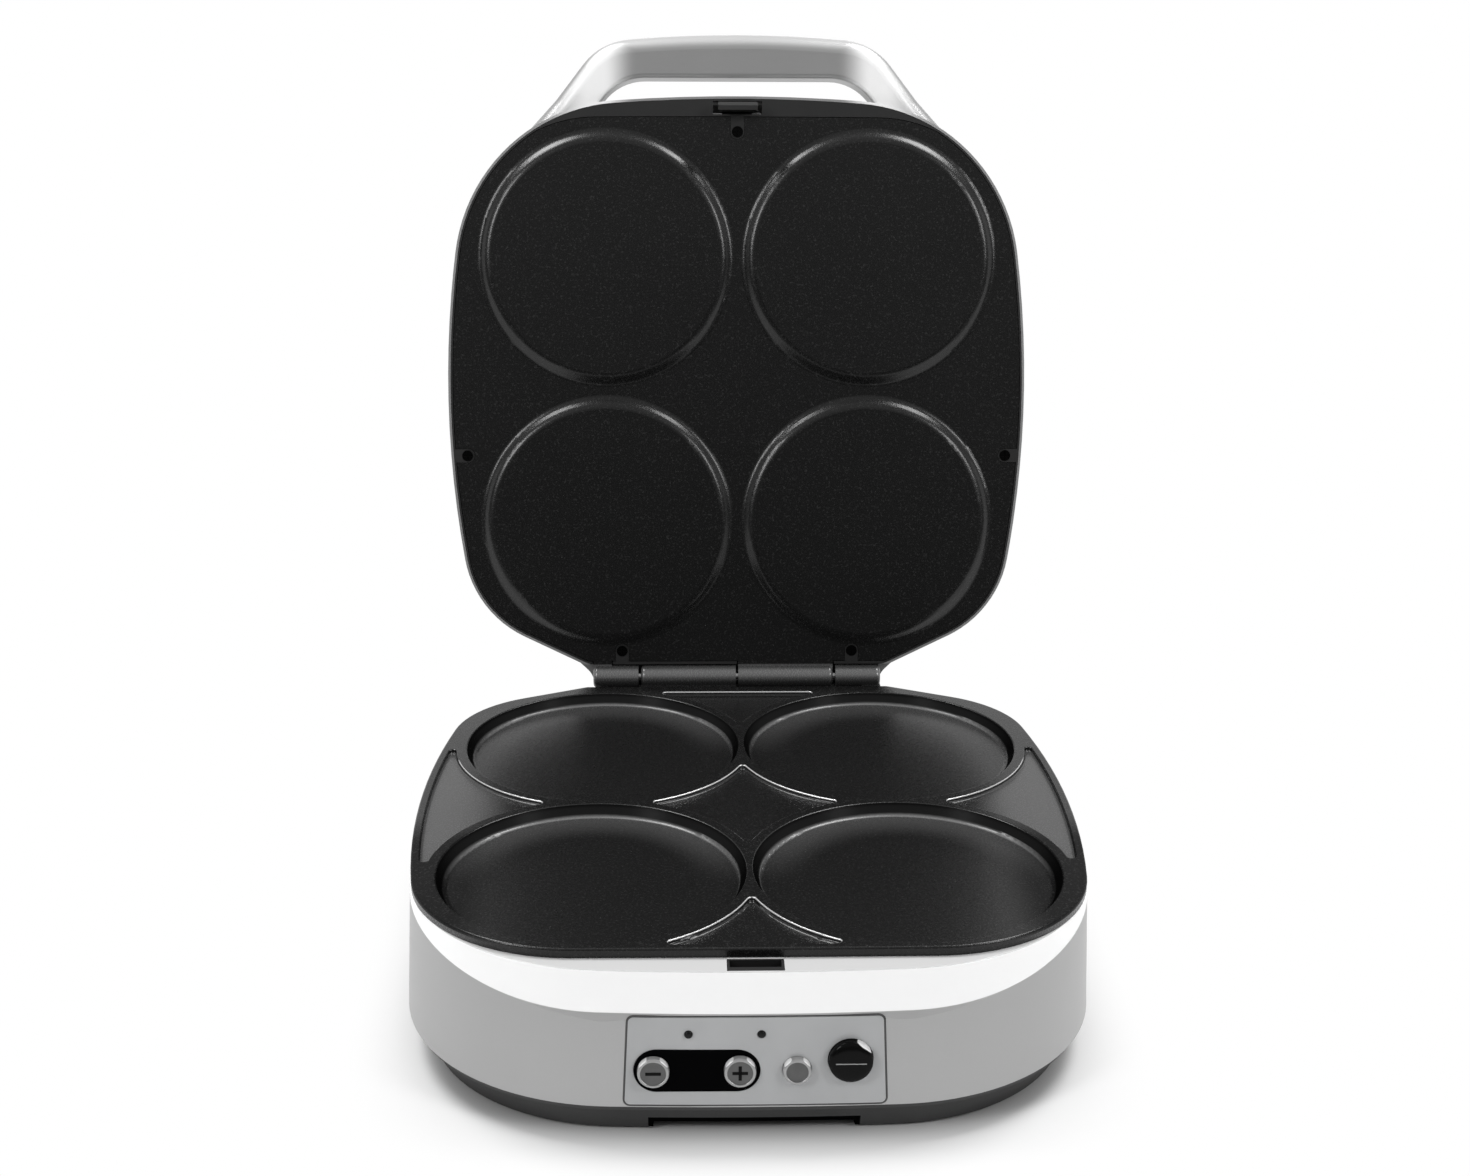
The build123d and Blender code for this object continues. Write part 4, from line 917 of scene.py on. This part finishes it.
def makeBead(name, points, look, body):
    path = bpy.data.meshes.new(name + "Path")
    count = len(points)
    path.from_pydata(points, [(i, (i + 1) % count) for i in range(count)], [])
    guide = bpy.data.objects.new(name + "Guide", path)
    scene.collection.objects.link(guide)
    modifier = guide.modifiers.new("bead", "NODES")
    modifier.node_group = beadTree
    values = {
        "Bead radius": look["radius"],
        "Step": look["step"],
        "Sides": look["sides"],
        "Finish": finishes[look["finish"]],
    }
    for item in beadTree.interface.items_tree:
        if item.in_out == "INPUT" and item.name in values:
            modifier[item.identifier] = values[item.name]
    bpy.context.view_layer.update()
    shown = guide.evaluated_get(bpy.context.evaluated_depsgraph_get())
    mesh = bpy.data.meshes.new_from_object(shown)
    mesh.name = name
    piece = bpy.data.objects.new(name, mesh)
    scene.collection.objects.link(piece)
    bpy.data.objects.remove(guide)
    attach(piece, body)


# A dark bead in the gap round the control panel: painted shade, standing in for the shadow in that gap
sealLook = {
    "outset": 0.00035,
    "sink": 0.0003,
    "apart": 0.0002,  # points of the panel closer than this count as one
    "radius": 0.00042,
    "step": 0.0006,
    "sides": 12,
    "finish": "seal",
}


# The dark bead's path: the hull of the panel's solid in its own plane, pushed out into the gap
def sealPoints(look):
    spots = {}
    for vertex in nodes["control_panel"].data.vertices:
        point = vertex.co
        flat = tuple(round(point.dot(axis) / look["apart"]) for axis in (faceRight, faceUp))
        if flat not in spots or point.dot(faceOut) > spots[flat].dot(faceOut):
            spots[flat] = point.copy()
    points = list(spots.values())
    hull = convex_hull_2d([(point.dot(faceRight), point.dot(faceUp)) for point in points])
    loop = [points[i] for i in hull]
    count = len(loop)
    path = []
    for i, point in enumerate(loop):
        along = loop[(i + 1) % count] - loop[i - 1]
        away = along.cross(faceOut).normalized()
        path.append(point + away * look["outset"] - faceOut * look["sink"])
    return path


makeBead("panelSeal", sealPoints(sealLook), sealLook, "base_body")
print("seal round the panel made")


def addPiece(name, mesh, finishNames):
    data = bpy.data.meshes.new(name)
    mesh.to_mesh(data)
    mesh.free()
    for finish in finishNames:
        data.materials.append(finishes[finish])
    piece = bpy.data.objects.new(name, data)
    scene.collection.objects.link(piece)
    return piece


# Buttons are turned: steps in radius and height from the flange over the rim to the middle of the face
buttonTurn = {
    "around": 96,
    "flange": 0.0009,
    "stem": 0.002,
    "sharp": 50,  # edges that turn by more than this angle stay sharp
}
capProfile = {
    "rim": [
        (0.0, -0.0009),
        (-0.00009, -0.00052),
        (-0.00033, -0.00021),
        (-0.0006, -0.00006),
        (-0.00085, 0.0),
        (-0.00104, -0.00006),
        (-0.00114, -0.0002),
    ],
    "face": [(-0.0012, -0.00032), (-0.0014, -0.00036), (-0.0026, -0.00033)],
    "finishes": ("clear", "disc"),
}
domeProfile = {
    "rim": [
        (0.0, -0.0019),
        (-0.00006, -0.0015),
        (-0.00028, -0.00112),
        (-0.0007, -0.00078),
        (-0.0014, -0.0005),
        (-0.0024, -0.00028),
        (-0.004, -0.0001),
        (-0.006, -0.00002),
    ],
    "face": [],
    "finishes": ("start", "start"),
}
buttons = {
    "minus_button": {"piece": "minusCap", "body": "minus_body", "profile": capProfile},
    "plus_button": {"piece": "plusCap", "body": "plus_body", "profile": capProfile},
    "extra_button": {"piece": "extraCap", "body": "extra_body", "profile": capProfile},
    "start_button": {"piece": "startCap", "body": "start_body", "profile": domeProfile},
}


# The solid's widest radius, and how deep its flange's two sides and its stem's end lie behind its face
def buttonDepths(node, place):
    inverse = place.inverted()
    local = [inverse @ vertex.co for vertex in nodes[node].data.vertices]
    widest = max(point.xy.length for point in local)
    rim = [point.z for point in local if widest - point.xy.length < faceDepth]
    return widest, max(rim), min(rim), min(point.z for point in local)


# Radius and height of each ring of points, and the ring at which the second finish starts
def buttonRings(node, place, profile):
    widest, flangeFront, flangeBack, end = buttonDepths(node, place)
    stem = buttonTurn["stem"]
    radius = widest - buttonTurn["flange"]
    back = [(stem, end), (stem, flangeBack)]
    back += [(widest, flangeBack), (widest, flangeFront), (radius, flangeFront)]
    rim, face = ([(radius + step, height) for step, height in profile[key]] for key in ("rim", "face"))
    return back + rim + face, len(back) + len(rim) - 1


def makeButton(node, look):
    place = faceFrame(node)
    rings, faceStart = buttonRings(node, place, look["profile"])
    around = buttonTurn["around"]
    turns = [2 * math.pi * i / around for i in range(around)]
    mesh = bmesh.new()
    loops = []
    for r, height in rings:
        spots = [Vector((r * math.cos(turn), r * math.sin(turn), height)) for turn in turns]
        loops.append([mesh.verts.new(place @ spot) for spot in spots])
    back, front = (mesh.verts.new(place @ Vector((0.0, 0.0, rings[end][1]))) for end in (0, -1))
    for i in range(around):
        j = (i + 1) % around
        mesh.faces.new((back, loops[0][j], loops[0][i]))
        mesh.faces.new((front, loops[-1][i], loops[-1][j])).material_index = 1
        for k in range(len(loops) - 1):
            made = mesh.faces.new((loops[k][i], loops[k][j], loops[k + 1][j], loops[k + 1][i]))
            made.material_index = 1 if k >= faceStart else 0
    for part in mesh.faces:
        part.smooth = True
    sharp = math.radians(buttonTurn["sharp"])
    for edge in mesh.edges:
        edge.smooth = edge.calc_face_angle(0.0) < sharp
    piece = addPiece(look["piece"], mesh, look["profile"]["finishes"])
    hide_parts(node)
    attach(piece, look["body"])


for nodeName, buttonLook in buttons.items():
    makeButton(nodeName, buttonLook)
print("buttons turned")


# Signs on the buttons: small raised bars with softened edges
signLook = {
    "long": 0.0056,
    "stroke": 0.0012,
    "thickness": 0.0002,
    "soften": 0.00005,
    "segments": 2,
    "roundness": 0.5,
    "sink": 0.0003,
    "finish": "sign",
}
lineLook = {**signLook, "long": 0.011, "stroke": 0.00035, "sink": 0.00005, "finish": "line"}


def makeBars(name, node, bars, look, body):
    sunk = Matrix.Translation(-faceOut * look["sink"])
    mesh = bmesh.new()
    for width, height in bars:
        made = bmesh.ops.create_cube(mesh, size=1.0)
        bmesh.ops.scale(mesh, vec=(width, height, look["thickness"]), verts=made["verts"])
    bmesh.ops.bevel(
        mesh,
        geom=mesh.edges[:],
        offset=look["soften"],
        segments=look["segments"],
        profile=look["roundness"],
        affect="EDGES",
    )
    bmesh.ops.transform(mesh, matrix=sunk @ faceFrame(node), verts=mesh.verts)
    piece = addPiece(name, mesh, [look["finish"]])
    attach(piece, body)


lying = (signLook["long"], signLook["stroke"])
standing = (signLook["stroke"], signLook["long"])
thin = (lineLook["long"], lineLook["stroke"])
makeBars("minusSign", "minus_button", [lying], signLook, "minus_body")
makeBars("plusSign", "plus_button", [lying, standing], signLook, "plus_body")
makeBars("startLine", "start_button", [thin], lineLook, "start_body")
print("signs made")
